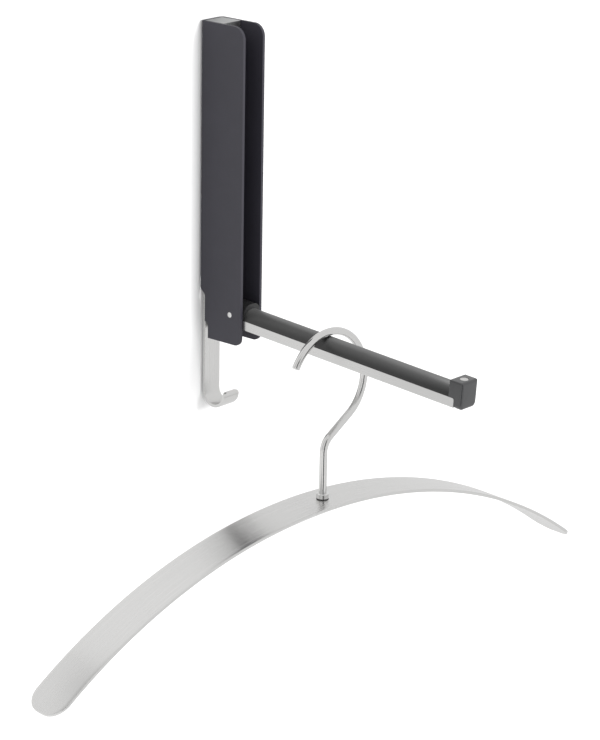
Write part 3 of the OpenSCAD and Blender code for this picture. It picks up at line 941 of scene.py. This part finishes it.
@dataclass
class FoldingArm:
    """The drooping arm: hinge block, bushes, steel rail, half-round cover, cap and magnet."""

    pivot: tuple[float, float, float] = (0.0, -27.0, -95.0)
    droop: float = 4.0
    cover_from: float = 10.0
    cover_to: float = 177.8
    cover_mid: float = -2.6
    cover_r: float = 7.75
    cover_wall: float = 2.0
    cover_edge: float = 0.35
    cover_points: tuple[int, int] = (65, 49)
    cover_rows: int = 7
    rail_top: float = -1.8
    rail_end: float = 182.2
    underside: float = -7.8
    arm_w: float = 15.5
    arm_len: float = 188.0
    nose_r: float = 2.4
    cap_low: float = -8.8
    cap_top: float = 9.2
    cap_corner: float = 4.0
    cap_ease: float = 1.8
    rear_ease: float = 0.4
    top_ease: float = 0.9
    tenon: tuple[float, float, float, float] = (165.2, -6.55, -2.0, 6.5)
    tenon_sunk: float = 0.5
    magnet_at: float = 182.9
    magnet_d: float = 5.5
    magnet_t: float = 4.0
    magnet_edge: float = 0.25
    pocket_gap: float = 0.02
    block_w: float = 15.0
    bush_len: float = 4.0
    bush_r: float = 3.05
    bush_bore: float = 1.85
    bush_rim: float = 1.5
    bush_rim_t: float = 0.4
    screws_at: tuple[float, float] = (22.5, 14.5)
    cap_screw_at: float = 169.7
    screw: Screw = field(default_factory=lambda: Screw(2.5, 4.6, 1.1, 5.0))

    def place(self, points: np.ndarray) -> np.ndarray:
        """Moves points (x, distance from the pivot, height) into the drooping arm's place.

        The arm runs along minus Y, turned down by the droop about the pivot's axis.

        Args:
            points: points in the arm's own frame, in millimetres.

        Returns:
            The points in the rack's frame.
        """
        c, s = math.cos(math.radians(self.droop)), math.sin(math.radians(self.droop))
        x, out, up = points[..., 0], points[..., 1], points[..., 2]
        px, py, pz = self.pivot
        return np.stack([x + px, py - out * c - up * s, pz - out * s + up * c], axis=-1)

    def upright(self, out: float, up: float) -> Move:
        """Gives the move that stands an axis upright on the arm, at a distance and a height."""
        shift = np.array([0.0, out, up])
        return lambda points: self.place(points * np.array([1.0, -1.0, 1.0]) + shift)

    def rail_run(self, points: np.ndarray) -> tuple[np.ndarray, np.ndarray]:
        """Gives the rail's brush map: along the arm, and x plus height across it.

        Args:
            points: the rail's points in millimetres.

        Returns:
            Distance along and across the rail.
        """
        x, y, z = points.T
        c, s = math.cos(math.radians(self.droop)), math.sin(math.radians(self.droop))
        dy, dz = y - self.pivot[1], z - self.pivot[2]
        return -dy * c - dz * s, x - dy * s + dz * c

    def build(self, finishes: Finishes) -> None:
        """Builds the arm's pieces and fits their finishes.

        Args:
            finishes: the rack's materials.
        """
        body = Body.ARM
        copies = (
            ("hinge_block", "arm_root", 0.35, Look.BLOCK, None),
            ("arm_rail", "steel_rail", 0.25, Look.RAIL, self.rail_run),
        )
        finishes.fit_copies(body, copies)
        finishes.fit(self._cap(), body, Look.CAP, "end_cap")
        finishes.fit(self._cover(), body, Look.COVER, "arm_cover")
        disc = eased_disc(POINT_R, self.magnet_d / 2, self.magnet_t, self.magnet_edge)
        magnet = turned_piece("magnet_disc", disc, self.upright(self.magnet_at, self.cap_top - self.magnet_t))
        finishes.fit(magnet, body, Look.NICKEL, "cap_magnet")
        finishes.fit(self._bushes(), body, Look.BRONZE, "pivot_bushes")
        rows = (
            ("root_fixings", "block_screws", self.screws_at),
            ("cap_fixing", "cap_screw", (self.cap_screw_at,)),
        )
        for name, node, spots in rows:
            places = [self.upright(out, self.underside) for out in spots]
            finishes.fit(self.screw.build(name, places), body, Look.ZINC, node)

    def _cover(self) -> bpy.types.Object:
        """Builds the half-round cover: a closed profile carried along the arm.

        The profile follows the outer circle from one edge over the top to the other, and the
        inner circle back. Near both ends it shrinks towards the middle of its wall by the
        rounding's own circle, e (1 - cos t), while it moves out by e sin t.

        Returns:
            The cover.
        """
        edge, inner_r = self.cover_edge, self.cover_r - self.cover_wall
        angles, radii = [], []
        for r, side, count in zip((self.cover_r, inner_r), (1, -1), self.cover_points):
            low = math.asin((self.rail_top - self.cover_mid) / r)
            angles.append(np.linspace(low, np.pi - low, count)[::side])
            radii.append(np.full(count, r))
        angle, base = np.concatenate(angles), np.concatenate(radii)
        turn = np.linspace(0, QUARTER, SMALL_ARC)
        starts = self.cover_from + edge * (1 - np.sin(turn[::-1]))
        ends = self.cover_to - edge * (1 - np.sin(turn))
        middle = np.linspace(starts[-1], ends[0], self.cover_rows + 2)[1:-1]
        out = np.concatenate([starts, middle, ends])
        drawn_in = edge * (1 - np.cos(turn))
        inset = np.concatenate([drawn_in[::-1], np.zeros(self.cover_rows), drawn_in])
        sign = np.where(base > inner_r, -1.0, 1.0)
        radius = base[None, :] + sign[None, :] * inset[:, None]
        across = np.repeat(out[:, None], len(angle), axis=1)
        height = self.cover_mid + radius * np.sin(angle)
        rings = np.stack([radius * np.cos(angle), across, height], axis=-1)
        return surface_piece("half_round_cover", self.place(rings))

    def _cap(self) -> bpy.types.Object:
        """Builds the cap: a front view carried along the arm, with rounded edges and its pocket.

        The front view is a square with rounded corners. Near both ends it is drawn in by
        e (1 - cos t) while it moves by e sin t. Its foot is cut at the rail's top behind the
        nose, and lies at the nose's own underside further out.

        Returns:
            The cap, with its tenon and the magnet's pocket.
        """
        ease, rear, start = self.cap_ease, self.rear_ease, self.rail_end
        turn = np.linspace(0, QUARTER, CAP_ARC)
        rows = [
            (self.cover_to + rear * (1 - math.sin(t)), rear * (1 - math.cos(t)), self.rail_top)
            for t in turn[::-1]
        ]
        rows.append((start, 0.0, self.rail_top))
        low = start + self.nose_r * (1 - np.cos(turn))
        high = self.arm_len - self.nose_r * (1 - np.cos(turn[::-1]))
        nearly = 0.01
        level = [(d, 0.0) for d in (*low, *high[high < self.arm_len - ease - nearly])]
        front = [(self.arm_len - ease * (1 - math.sin(t)), ease * (1 - math.cos(t))) for t in turn]
        rows += [(d, inset, self._nose_foot(d)) for d, inset in level + front]
        rings = []
        for d, inset, foot in rows:
            x, z = self._cap_view(inset, foot)
            rings.append(np.stack([x, np.full_like(x, d), z], axis=-1))
        cap = surface_piece("black_cap", self.place(np.array(rings)))
        pocket = self.magnet_d / 2 + self.pocket_gap
        drill(cap, self.upright(self.magnet_at, self.cap_top), pocket, self.magnet_t)
        tenon_from, tenon_low, tenon_high, half = self.tenon
        x = np.array([-half, half, half, -half])
        z = np.array([tenon_low, tenon_low, tenon_high, tenon_high])
        box = [np.stack([x, np.full(4, d), z], axis=-1) for d in (tenon_from, start + self.tenon_sunk)]
        tenon = surface_piece("cap_tenon", self.place(np.array(box)))
        hole = self.upright(self.cap_screw_at, self.underside)
        drill(tenon, hole, self.screw.thread_d / 2, self.screw.length)
        return merged_piece("black_cap", (cap, tenon), PART_WELD)

    def _nose_foot(self, d: float) -> float:
        """Gives the height of the nose's underside, which is rounded at both ends.

        It is r - sqrt(r^2 - (r - e)^2) above the lowest point, with e the distance to the
        nearer end, and it is the lowest point where e is more than r.

        Args:
            d: distance from the pivot, in millimetres.

        Returns:
            The height.
        """
        to_end = min(d - self.rail_end, self.arm_len - d, self.nose_r)
        short = self.nose_r - max(to_end, 0.0)
        return self.cap_low + self.nose_r - math.sqrt(max(self.nose_r**2 - short**2, 0.0))

    def _cap_view(self, inset: float, foot: float) -> tuple[np.ndarray, np.ndarray]:
        """Gives the cap's front view, drawn in by an inset and cut off below a foot.

        Args:
            inset: distance that the outline is drawn in, in millimetres.
            foot: height under which nothing is left. A foot above the lower corners is drawn
                in too.

        Returns:
            x and height of the outline's points, in order.
        """
        half = self.arm_w / 2
        x, z = [], []
        for first, side, high in ((0, 1, True), (90, -1, True), (180, -1, False), (270, 1, False)):
            r = self.top_ease if high else self.cap_corner
            keep, back = max(r - inset, POINT_R), max(r, inset + POINT_R)
            corner_x = side * (half - back)
            corner_z = self.cap_top - back if high else self.cap_low + r
            angle = np.radians(np.linspace(first, first + 90, CAP_ARC))
            x.append(corner_x + keep * np.cos(angle))
            z.append(corner_z + keep * np.sin(angle))
        if foot > self.cap_low + self.cap_corner:
            foot += inset
        return np.concatenate(x), np.maximum(np.concatenate(z), foot)

    def _bushes(self) -> bpy.types.Object:
        """Builds the two flanged bushes as turned rings.

        Returns:
            The bushes, as one piece.
        """
        bore, outer, wide = self.bush_bore, self.bush_r, self.bush_r + self.bush_rim
        sleeve = [(bore, -self.bush_len), (outer, -self.bush_len), (outer, 0)]
        rim = [(wide, 0), (wide, self.bush_rim_t), (bore, self.bush_rim_t)]
        places = [crosswise(self.pivot, side, self.block_w / 2) for side in (-1, 1)]
        parts = [turned_piece("bush_part", sleeve + rim, place, hollow=True) for place in places]
        return merged_piece("bronze_bushes", parts)


@dataclass
class Hanger:
    """The hanger: bent wire, collar, washers and the wide bow of flat strip."""

    out: float = 102.0
    wire_d: float = 5.0
    wire_sides: int = 40
    arc_steps: tuple[int, int, int] = (90, 72, 36)
    run_steps: int = 12
    stem_steps: int = 14
    crook_top: float = -92.382
    crook_r: float = 35.8
    side_r: float = 28.4
    turn: float = 10.0
    tip: float = 147.0
    tip_reach: float = 1.4
    tip_edge: float = 0.9
    slope: float = 30.5
    neck_r: float = 11.6
    stem_x: float = -2.5
    bow_top: float = -202.882
    washer_t: float = 0.4
    washer_d: float = 8.0
    washer_edge: float = 0.1
    low_washer_t: float = 0.8
    play: float = 0.05
    spigot_d: float = 3.4
    spigot_gap: float = 0.06
    rivet_d: float = 6.0
    rivet_h: float = 1.4
    rivet_edge: float = 0.2
    rivet_lift: float = 0.3
    rivet_step: float = 0.4
    collar_d: float = 8.0
    collar_h: float = 3.5
    collar_edge: float = 0.45
    collar_bore_edge: float = 0.1
    collar_foot: tuple[float, float] = (0.4, 0.35)
    collar_clear: float = 0.03
    nylon_clear: float = 0.02
    bow_r: float = 372.0
    bow_w: float = 459.0
    bow_strip: float = 31.0
    bow_t: float = 2.0
    bow_edge: float = 0.45
    bow_corner: float = 13.0
    bow_turn: float = 5.6
    bow_cut: float = 6.0
    bow_rows: int = 241
    corner_rows: int = 25
    strip_points: int = 13

    def centre_line(self) -> np.ndarray:
        """Gives the wire's centre line as points (x, z), from the tip to the stem's foot.

        Two arcs make the crook: centre plus radius times (cos a, sin a), with a falling from
        the tip's direction. A straight run follows, a third arc bends it into the stem, and
        the stem is straight.

        Returns:
            The points in millimetres, evenly spaced within each part.
        """
        turn, slope = math.radians(self.turn), math.radians(self.slope)
        crook = np.array([0.0, self.crook_top - self.crook_r])
        side = crook + (self.crook_r - self.side_r) * np.array([math.cos(turn), math.sin(turn)])
        side_end = side + self.side_r * np.array([math.sin(slope), -math.cos(slope)])
        run = (side_end[0] - self.stem_x) / math.cos(slope)
        tangent = self.neck_r * math.tan(math.radians(90 - self.slope) / 2)
        neck_z = side_end[1] - run * math.sin(slope) - tangent
        neck = np.array([self.stem_x + self.neck_r, neck_z])

        def arc(middle: np.ndarray, radius: float, first: float, last: float, count: int) -> np.ndarray:
            """Gives points on an arc between two directions in degrees, the last left out."""
            angle = np.radians(np.linspace(first, last, count, endpoint=False))
            return middle + radius * np.stack([np.cos(angle), np.sin(angle)], axis=-1)

        way = -np.array([math.cos(slope), math.sin(slope)])
        straight = side_end + np.linspace(0, run - tangent, self.run_steps, endpoint=False)[:, None] * way
        foot = np.array([self.stem_x, self.bow_top + self.washer_t])
        stem_top = np.array([self.stem_x, neck_z])
        crook_steps, side_steps, neck_steps = self.arc_steps
        parts = (
            arc(crook, self.crook_r, self.tip, self.turn, crook_steps),
            arc(side, self.side_r, self.turn, self.slope - 90, side_steps),
            straight,
            arc(neck, self.neck_r, 90 + self.slope, 180, neck_steps),
            stem_top + np.linspace(0, 1, self.stem_steps)[:, None] * (foot - stem_top),
        )
        return np.concatenate(parts)

    def wire(self) -> bpy.types.Object:
        """Builds the wire: a circle carried along the centre line at right angles to it.

        The tip is cut square with a small rounded edge. Below the stem the circle narrows to
        the spigot, and widens again to the riveted end.

        Returns:
            The wire.
        """
        line = self.centre_line()
        way = np.gradient(line, axis=0)
        way /= np.linalg.norm(way, axis=1)[:, None]
        r, edge = self.wire_d / 2, self.tip_edge
        bend = np.linspace(0, QUARTER, ROUND_ARC)[::-1]
        tip_line = line[0] - way[0] * (self.tip_reach - edge + edge * np.sin(bend))[:, None]
        tip_radius = r - edge + edge * np.cos(bend)
        spigot, rivet, chamfer = self.spigot_d / 2, self.rivet_d / 2, self.rivet_edge
        top = self.bow_top - self.bow_t - self.low_washer_t - 2 * self.play
        low = [
            (line[-1][1], spigot),
            (top, spigot),
            (top, rivet - chamfer),
            (top - chamfer, rivet),
            (top - self.rivet_h + self.rivet_lift, rivet - self.rivet_h + self.rivet_step),
            (top - self.rivet_h, rivet - self.rivet_h - chamfer),
        ]
        low_line = np.array([[self.stem_x, z] for z, _ in low])
        centre = np.concatenate([tip_line, line, low_line])
        first = np.repeat(way[:1], len(tip_line), axis=0)
        heading = np.concatenate([first, way, np.repeat(way[-1:], len(low), axis=0)])
        radius = np.concatenate([tip_radius, np.full(len(line), r), [size for _, size in low]])
        angle = np.arange(self.wire_sides) * 2 * np.pi / self.wire_sides
        side = np.stack([-heading[:, 1], heading[:, 0]], axis=-1)
        flat = radius[:, None] * np.cos(angle)
        x = centre[:, None, 0] + side[:, None, 0] * flat
        y = -self.out + radius[:, None] * np.sin(angle)
        z = centre[:, None, 1] + side[:, None, 1] * flat
        steps = np.linalg.norm(np.diff(centre, axis=0, prepend=centre[:1]), axis=1)
        along = np.repeat(np.cumsum(steps)[:, None], self.wire_sides, axis=1)
        across = np.repeat((np.abs(angle - np.pi) * r)[None, :], len(centre), axis=0)
        return surface_piece("bent_wire", np.stack([x, y, z], axis=-1), along, across)

    def bow(self) -> bpy.types.Object:
        """Builds the bow: a rounded flat section carried along a circle's arc.

        At arc distance s from the middle the section's half width is w, less
        c - sqrt(c^2 - (c - e)^2) within the corner radius c of an end, where e is the distance
        to that end. Height h above the inner face puts a point at radius R - t + h, and the
        point's x and z are (R - t + h) sin(s / R) and (R - t + h) cos(s / R) - R.

        Returns:
            The bow, turned a little against the wall, with its hole.
        """
        half = self.bow_r * math.asin(self.bow_w / 2 / self.bow_r)
        corner, edge = self.bow_corner, self.bow_edge
        near = half - corner * (1 - np.cos(np.linspace(0, QUARTER, self.corner_rows)))
        inside = 0.999
        ends = near[near > half - corner * inside]
        inner = np.linspace(-(half - corner), half - corner, self.bow_rows)
        s = np.concatenate([-ends, inner, ends[::-1]])
        to_end = half - np.abs(s)
        short = np.clip(corner - to_end, 0, corner)
        wide = self.bow_strip / 2 - (corner - np.sqrt(np.maximum(corner**2 - short**2, 0)))
        sideways, height = self._section(wide)
        shrink = np.clip(edge - to_end, 0, edge)
        thin = edge - np.sqrt(np.maximum(edge**2 - shrink**2, 0))
        height = np.clip(height, thin[:, None], self.bow_t - thin[:, None])
        radius = self.bow_r - self.bow_t + height
        angle = (s / self.bow_r)[:, None]
        x, z = radius * np.sin(angle), radius * np.cos(angle) - self.bow_r
        turn = math.radians(-self.bow_turn)
        c, sn = math.cos(turn), math.sin(turn)
        turned_x = x * c - sideways * sn + self.stem_x
        turned_y = x * sn + sideways * c - self.out
        rings = np.stack([turned_x, turned_y, z + self.bow_top], axis=-1)
        along = np.repeat(s[:, None], sideways.shape[1], axis=1)
        piece = surface_piece("strip_bow", rings, along, sideways + height)
        hole = self.spigot_d / 2 + self.spigot_gap
        drill(piece, self.stem_place(self.bow_top), hole, self.bow_cut)
        return piece

    def _section(self, wide: np.ndarray) -> tuple[np.ndarray, np.ndarray]:
        """Gives the strip's section at each half width, its four edges rounded by circles.

        Args:
            wide: half width of each section, in millimetres.

        Returns:
            Sideways place and height above the inner face of each point.
        """
        edge, top = self.bow_edge, self.bow_t
        bend = np.linspace(0, QUARTER, SMALL_ARC)
        flat = np.linspace(1, -1, self.strip_points + 2)[1:-1]
        core, upper = wide[:, None] - edge, top - edge
        cos, sin = edge * np.cos(bend), edge * np.sin(bend)
        parts = (
            (core + cos, upper + sin),
            (core * flat, np.full_like(flat, top)),
            (-core - sin, upper + cos),
            (-core - cos, edge - sin),
            (-core * flat, np.zeros_like(flat)),
            (core + sin, edge - cos),
        )
        sideways = np.concatenate([v for v, _ in parts], axis=1)
        height = np.concatenate([np.broadcast_to(h, (len(wide), len(h))) for _, h in parts], axis=1)
        return sideways, height

    def stem_place(self, z: float) -> Move:
        """Gives the move that puts an upright axis on the stem, with its zero at height z."""
        shift = np.array([self.stem_x, -self.out, z])
        return lambda points: points + shift

    def build(self, finishes: Finishes) -> None:
        """Builds the hanger's pieces and fits their finishes.

        The collar's foot and the nylon washer's top stand a hair apart, so that they don't
        share a plane.

        Args:
            finishes: the rack's materials.
        """
        finishes.fit(self.wire(), Body.HOOK, Look.WIRE, "hanger_wire")
        r, bore, high = self.collar_d / 2, self.wire_d / 2, self.collar_h
        edge, low = self.collar_edge, self.collar_clear
        lip, (foot_in, foot_up) = self.collar_bore_edge, self.collar_foot
        foot = [(bore, lip), (bore + lip, low), (r - foot_in, low), (r, foot_up)]
        head = [(r, high - edge), (r - edge, high), (bore, high)]
        at = self.stem_place(self.bow_top + self.washer_t)
        collar = turned_piece("stem_collar", foot + head, at, hollow=True)
        finishes.fit(collar, Body.HOOK, Look.LATHE, "hanger_collar")
        finishes.fit(self.bow(), Body.BOW, Look.STRIP, "hanger_bow")
        hole = self.spigot_d / 2 + self.spigot_gap
        under = self.bow_top - self.bow_t - self.low_washer_t - self.play
        rows = (
            ("nylon_washer", "swivel_washer", self.bow_top, self.washer_t - self.nylon_clear, Look.NYLON),
            ("steel_washer", "lower_washer", under, self.low_washer_t, Look.ZINC),
        )
        for name, node, z, thick, look in rows:
            disc = eased_disc(hole, self.washer_d / 2, thick, self.washer_edge)
            washer = turned_piece(name, disc, self.stem_place(z), hollow=True)
            finishes.fit(washer, Body.BOW, look, node)


# Studio


@dataclass(frozen=True)
class PhotoCamera:
    """The camera of the photograph, for a frame of 600 by 740 pixels."""

    azimuth: float = -49.015
    elevation: float = 17.998
    roll: float = 1.023
    focal_px: float = 2805.482
    distance: float = 1820.39
    pivot_px: tuple[float, float] = (209.374, 303.255)
    frame_px: tuple[float, float] = (600.0, 740.0)
    pivot_z: float = -95.0
    sensor: float = 36.0
    clip: tuple[float, float] = (0.05, 50)

    def build(self) -> None:
        """Places the camera: the wall point behind the pivot is seen at pivot_px."""
        a, e, r = (math.radians(v) for v in (self.azimuth, self.elevation, self.roll))
        back = np.array([math.sin(a) * math.cos(e), -math.cos(a) * math.cos(e), math.sin(e)])
        right = np.array([math.cos(a), math.sin(a), 0.0])
        up = np.cross(back, right)
        right, up = right * math.cos(r) + up * math.sin(r), up * math.cos(r) - right * math.sin(r)
        scale = self.distance / self.focal_px
        aside = (self.pivot_px[0] - self.frame_px[0] / 2) * scale
        above = -(self.pivot_px[1] - self.frame_px[1] / 2) * scale
        eye = back * self.distance - right * aside - up * above + np.array([0, 0, self.pivot_z])
        data = bpy.data.cameras.new("photo_camera")
        data.sensor_width = self.sensor
        data.lens = self.focal_px * self.sensor / self.frame_px[1]
        data.clip_start, data.clip_end = self.clip
        camera = add_object("photo_camera", data)
        turn = np.eye(4)
        turn[:3, 0], turn[:3, 1], turn[:3, 2], turn[:3, 3] = right, up, back, eye * MM
        camera.matrix_world = Matrix(turn.tolist())
        bpy.context.scene.camera = camera


@dataclass(frozen=True)
class SoftLight:
    """A soft box: a rectangle of light that looks at the rack."""

    name: str
    place: tuple[float, float, float]
    size: tuple[float, float]
    power: float
    aim: tuple[float, float, float] = (0.0, -0.08, -0.1)
    shines: bool = True
    only: tuple[str, ...] = ()

    def build(self) -> None:
        """Hangs the light, hides it from the camera and aims it at the pieces named in only."""
        data = bpy.data.lights.new(self.name, "AREA")
        data.shape, data.size, data.size_y = "RECTANGLE", *self.size
        data.energy = self.power
        light = add_object(self.name, data)
        light.location = self.place
        way = Vector(self.aim) - Vector(self.place)
        light.rotation_euler = way.to_track_quat("-Z", "Y").to_euler()
        light.visible_camera = False
        light.visible_glossy = self.shines
        if self.only:
            lit = bpy.data.collections.new(f"lit by {self.name}")
            for name in self.only:
                lit.objects.link(bpy.data.objects[name])
            light.light_linking.receiver_collection = lit


@dataclass(frozen=True)
class Flag:
    """A dark card that only reflections see."""

    name: str
    place: tuple[float, float, float]
    size: tuple[float, float]
    level: float = 0.01
    aim: tuple[float, float, float] = (0.0, -0.1, -0.15)

    def build(self) -> None:
        """Stands the card up, facing the rack."""
        wide, high = self.size[0] / 2, self.size[1] / 2
        way = Vector(self.aim) - Vector(self.place)
        turn = way.to_track_quat("Z", "Y").to_matrix()
        corners = [
            turn @ Vector((x * wide, y * high, 0)) + Vector(self.place)
            for x, y in ((-1, -1), (1, -1), (1, 1), (-1, 1))
        ]
        mesh = bpy.data.meshes.new(self.name)
        mesh.from_pydata(corners, [], [(0, 1, 2, 3)])
        card = add_object(self.name, mesh)
        for flag in ("camera", "diffuse", "shadow", "transmission", "volume_scatter"):
            setattr(card, f"visible_{flag}", False)
        material = bpy.data.materials.new(self.name)
        desk = blank_desk(material)
        glow = desk.add("ShaderNodeEmission", Strength=self.level)
        desk.add("ShaderNodeOutputMaterial", {"Surface": glow.outputs[0]})
        mesh.materials.append(material)


KEY_BOX = SoftLight("key_box", place=(0.3, -2.6, 0.8), size=(0.6, 0.8), power=42.0, shines=False)
TOP_BOX = SoftLight(
    "top_box",
    place=(0.537, -0.25, 1.3),
    size=(0.5, 0.5),
    power=75.0,
    aim=(0.0, -0.1, -0.095),
    only=("half_round_cover",),
)
CAMERA_GAP = Flag("camera_gap", place=(-1.0, -1.55, -0.1), size=(0.8, 3.0))


@dataclass
class Studio:
    """A white sweep for wall and floor, an even white room, soft boxes and a dark card."""

    wall_y: float = 0.0006
    wall_top: float = 3.0
    floor_z: float = -1.3
    floor_out: float = -6.0
    cove: float = 0.35
    cove_points: int = 17
    half_width: float = 5.0
    paper: tuple[float, float, float, float] = (0.93, 0.93, 0.93, 1.0)
    room: float = 1.12
    room_glow: float = 0.86
    # Levels of the painted glow that reflections see: brighter at the left, dimmer at the right.
    painted_glow_left: float = 0.98
    painted_glow_right: float = 0.86
    fade_from: float = -0.15
    fade_to: float = 0.1
    # Reach of the painted shade that darkens the reflected glow near the rack's pieces.
    painted_gap_shade_reach: float = 0.05
    # Place and depth of the painted shade patch that dims the reflected glow beyond the bow's left end.
    end_x: tuple[float, float] = (-0.19, -0.24)
    end_z: tuple[float, float] = (-0.19, -0.165)
    painted_patch_dim: float = 0.4

    def build(self) -> None:
        """Builds the sweep, the room's light, the soft boxes and the card."""
        self._sweep()
        self._room()
        for item in (KEY_BOX, TOP_BOX, CAMERA_GAP):
            item.build()
        bpy.context.scene.view_settings.view_transform = "Standard"

    def _sweep(self) -> None:
        """Builds wall and floor as one sheet: down the wall, round a cove, out over the floor."""
        bend = np.linspace(0, QUARTER, self.cove_points)
        round_y = self.wall_y - self.cove * (1 - np.cos(bend))
        round_z = self.floor_z + self.cove * (1 - np.sin(bend))
        y = np.concatenate([[self.wall_y], round_y, [self.floor_out]])
        z = np.concatenate([[self.wall_top], round_z, [self.floor_z]])
        x = np.array([-self.half_width, self.half_width])
        grid = (np.repeat(x[None, :], len(y), 0), np.repeat(y[:, None], 2, 1), np.repeat(z[:, None], 2, 1))
        points = np.stack(grid, -1)
        i = np.arange(len(y) - 1) * 2
        faces = np.stack([i, i + 2, i + 3, i + 1], axis=-1)
        mesh = bpy.data.meshes.new("studio_sweep")
        mesh.from_pydata(points.reshape(-1, 3).tolist(), [], faces.tolist())
        mesh.polygons.foreach_set("use_smooth", [True] * len(faces))
        sweep = add_object("studio_sweep", mesh)
        mesh.materials.append(self._paper())

    def _paper(self) -> bpy.types.Material:
        """Builds the sweep's white paper, which only has a front.

        The camera sees it lit by the room and the key box. Reflections see a painted glow instead: it fades
        from left to right, with painted shade in narrow places and a painted shade patch beyond the bow's
        left end.

        Returns:
            The material.
        """
        material = bpy.data.materials.new("white paper")
        desk = blank_desk(material)
        white = desk.add("ShaderNodeBsdfDiffuse", Color=self.paper).outputs[0]
        # Painted shade: ambient occlusion darkens the glow that reflections see in narrow places.
        painted_gap_shade = desk.add("ShaderNodeAmbientOcclusion", samples=4, Distance=self.painted_gap_shade_reach)
        place = desk.add("ShaderNodeTexCoord").outputs["Object"]
        split = desk.add("ShaderNodeSeparateXYZ", {0: place}).outputs
        reach, levels = (self.fade_from, self.fade_to), (self.painted_glow_left, self.painted_glow_right)
        # Painted reflection light: the glow fades from left to right.
        painted_glow_fade = desk.ramp(split["X"], reach, levels, smooth=True)
        dim = desk.work_out("MULTIPLY", painted_glow_fade, painted_gap_shade.outputs["AO"])
        # Painted shade: a patch beyond the bow's left end where the reflected glow is dimmed.
        end_x = desk.ramp(split["X"], self.end_x, smooth=True)
        end_z = desk.ramp(split["Z"], self.end_z, smooth=True)
        beyond = desk.work_out("MULTIPLY", end_x, end_z)
        shade = desk.work_out("MULTIPLY_ADD", beyond, -self.painted_patch_dim, 1.0)
        strength = desk.work_out("MULTIPLY", dim, shade)
        # Painted reflection light: for all rays but the camera's, the paper glows instead of being lit.
        glow = desk.add("ShaderNodeEmission", {"Strength": strength}).outputs[0]
        clear = desk.add("ShaderNodeBsdfTransparent").outputs[0]
        back = desk.add("ShaderNodeNewGeometry").outputs["Backfacing"]
        ray = desk.add("ShaderNodeLightPath").outputs
        front = desk.add("ShaderNodeMixShader", {0: ray["Is Camera Ray"], 1: glow, 2: white}).outputs[0]
        either = desk.work_out("MAXIMUM", back, ray["Is Shadow Ray"])
        mix = desk.add("ShaderNodeMixShader", {0: either, 1: front, 2: clear}).outputs[0]
        desk.add("ShaderNodeOutputMaterial", {"Surface": mix})
        return material

    def _room(self) -> None:
        """Fills the room with even white light, a little dimmer where gloss mirrors it."""
        world = bpy.data.worlds.new("white room")
        bpy.context.scene.world = world
        desk = blank_desk(world)
        glossy = desk.add("ShaderNodeLightPath").outputs["Is Glossy Ray"]
        level = desk.ramp(glossy, end=(self.room, self.room_glow))
        light = desk.add("ShaderNodeBackground", {"Strength": level}, Color=(1.0, 1.0, 1.0, 1.0))
        desk.add("ShaderNodeOutputWorld", {"Surface": light.outputs[0]})


def main() -> None:
    logging.basicConfig(level=logging.INFO, format="%(message)s")
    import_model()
    PhotoCamera().build()
    finishes = Finishes(SharedEffects())
    for part in (WallBracket(), FoldingArm(), Hanger()):
        log.info("building %s", type(part).__name__)
        part.build(finishes)
    Studio().build()


if __name__ == "__main__":
    main()
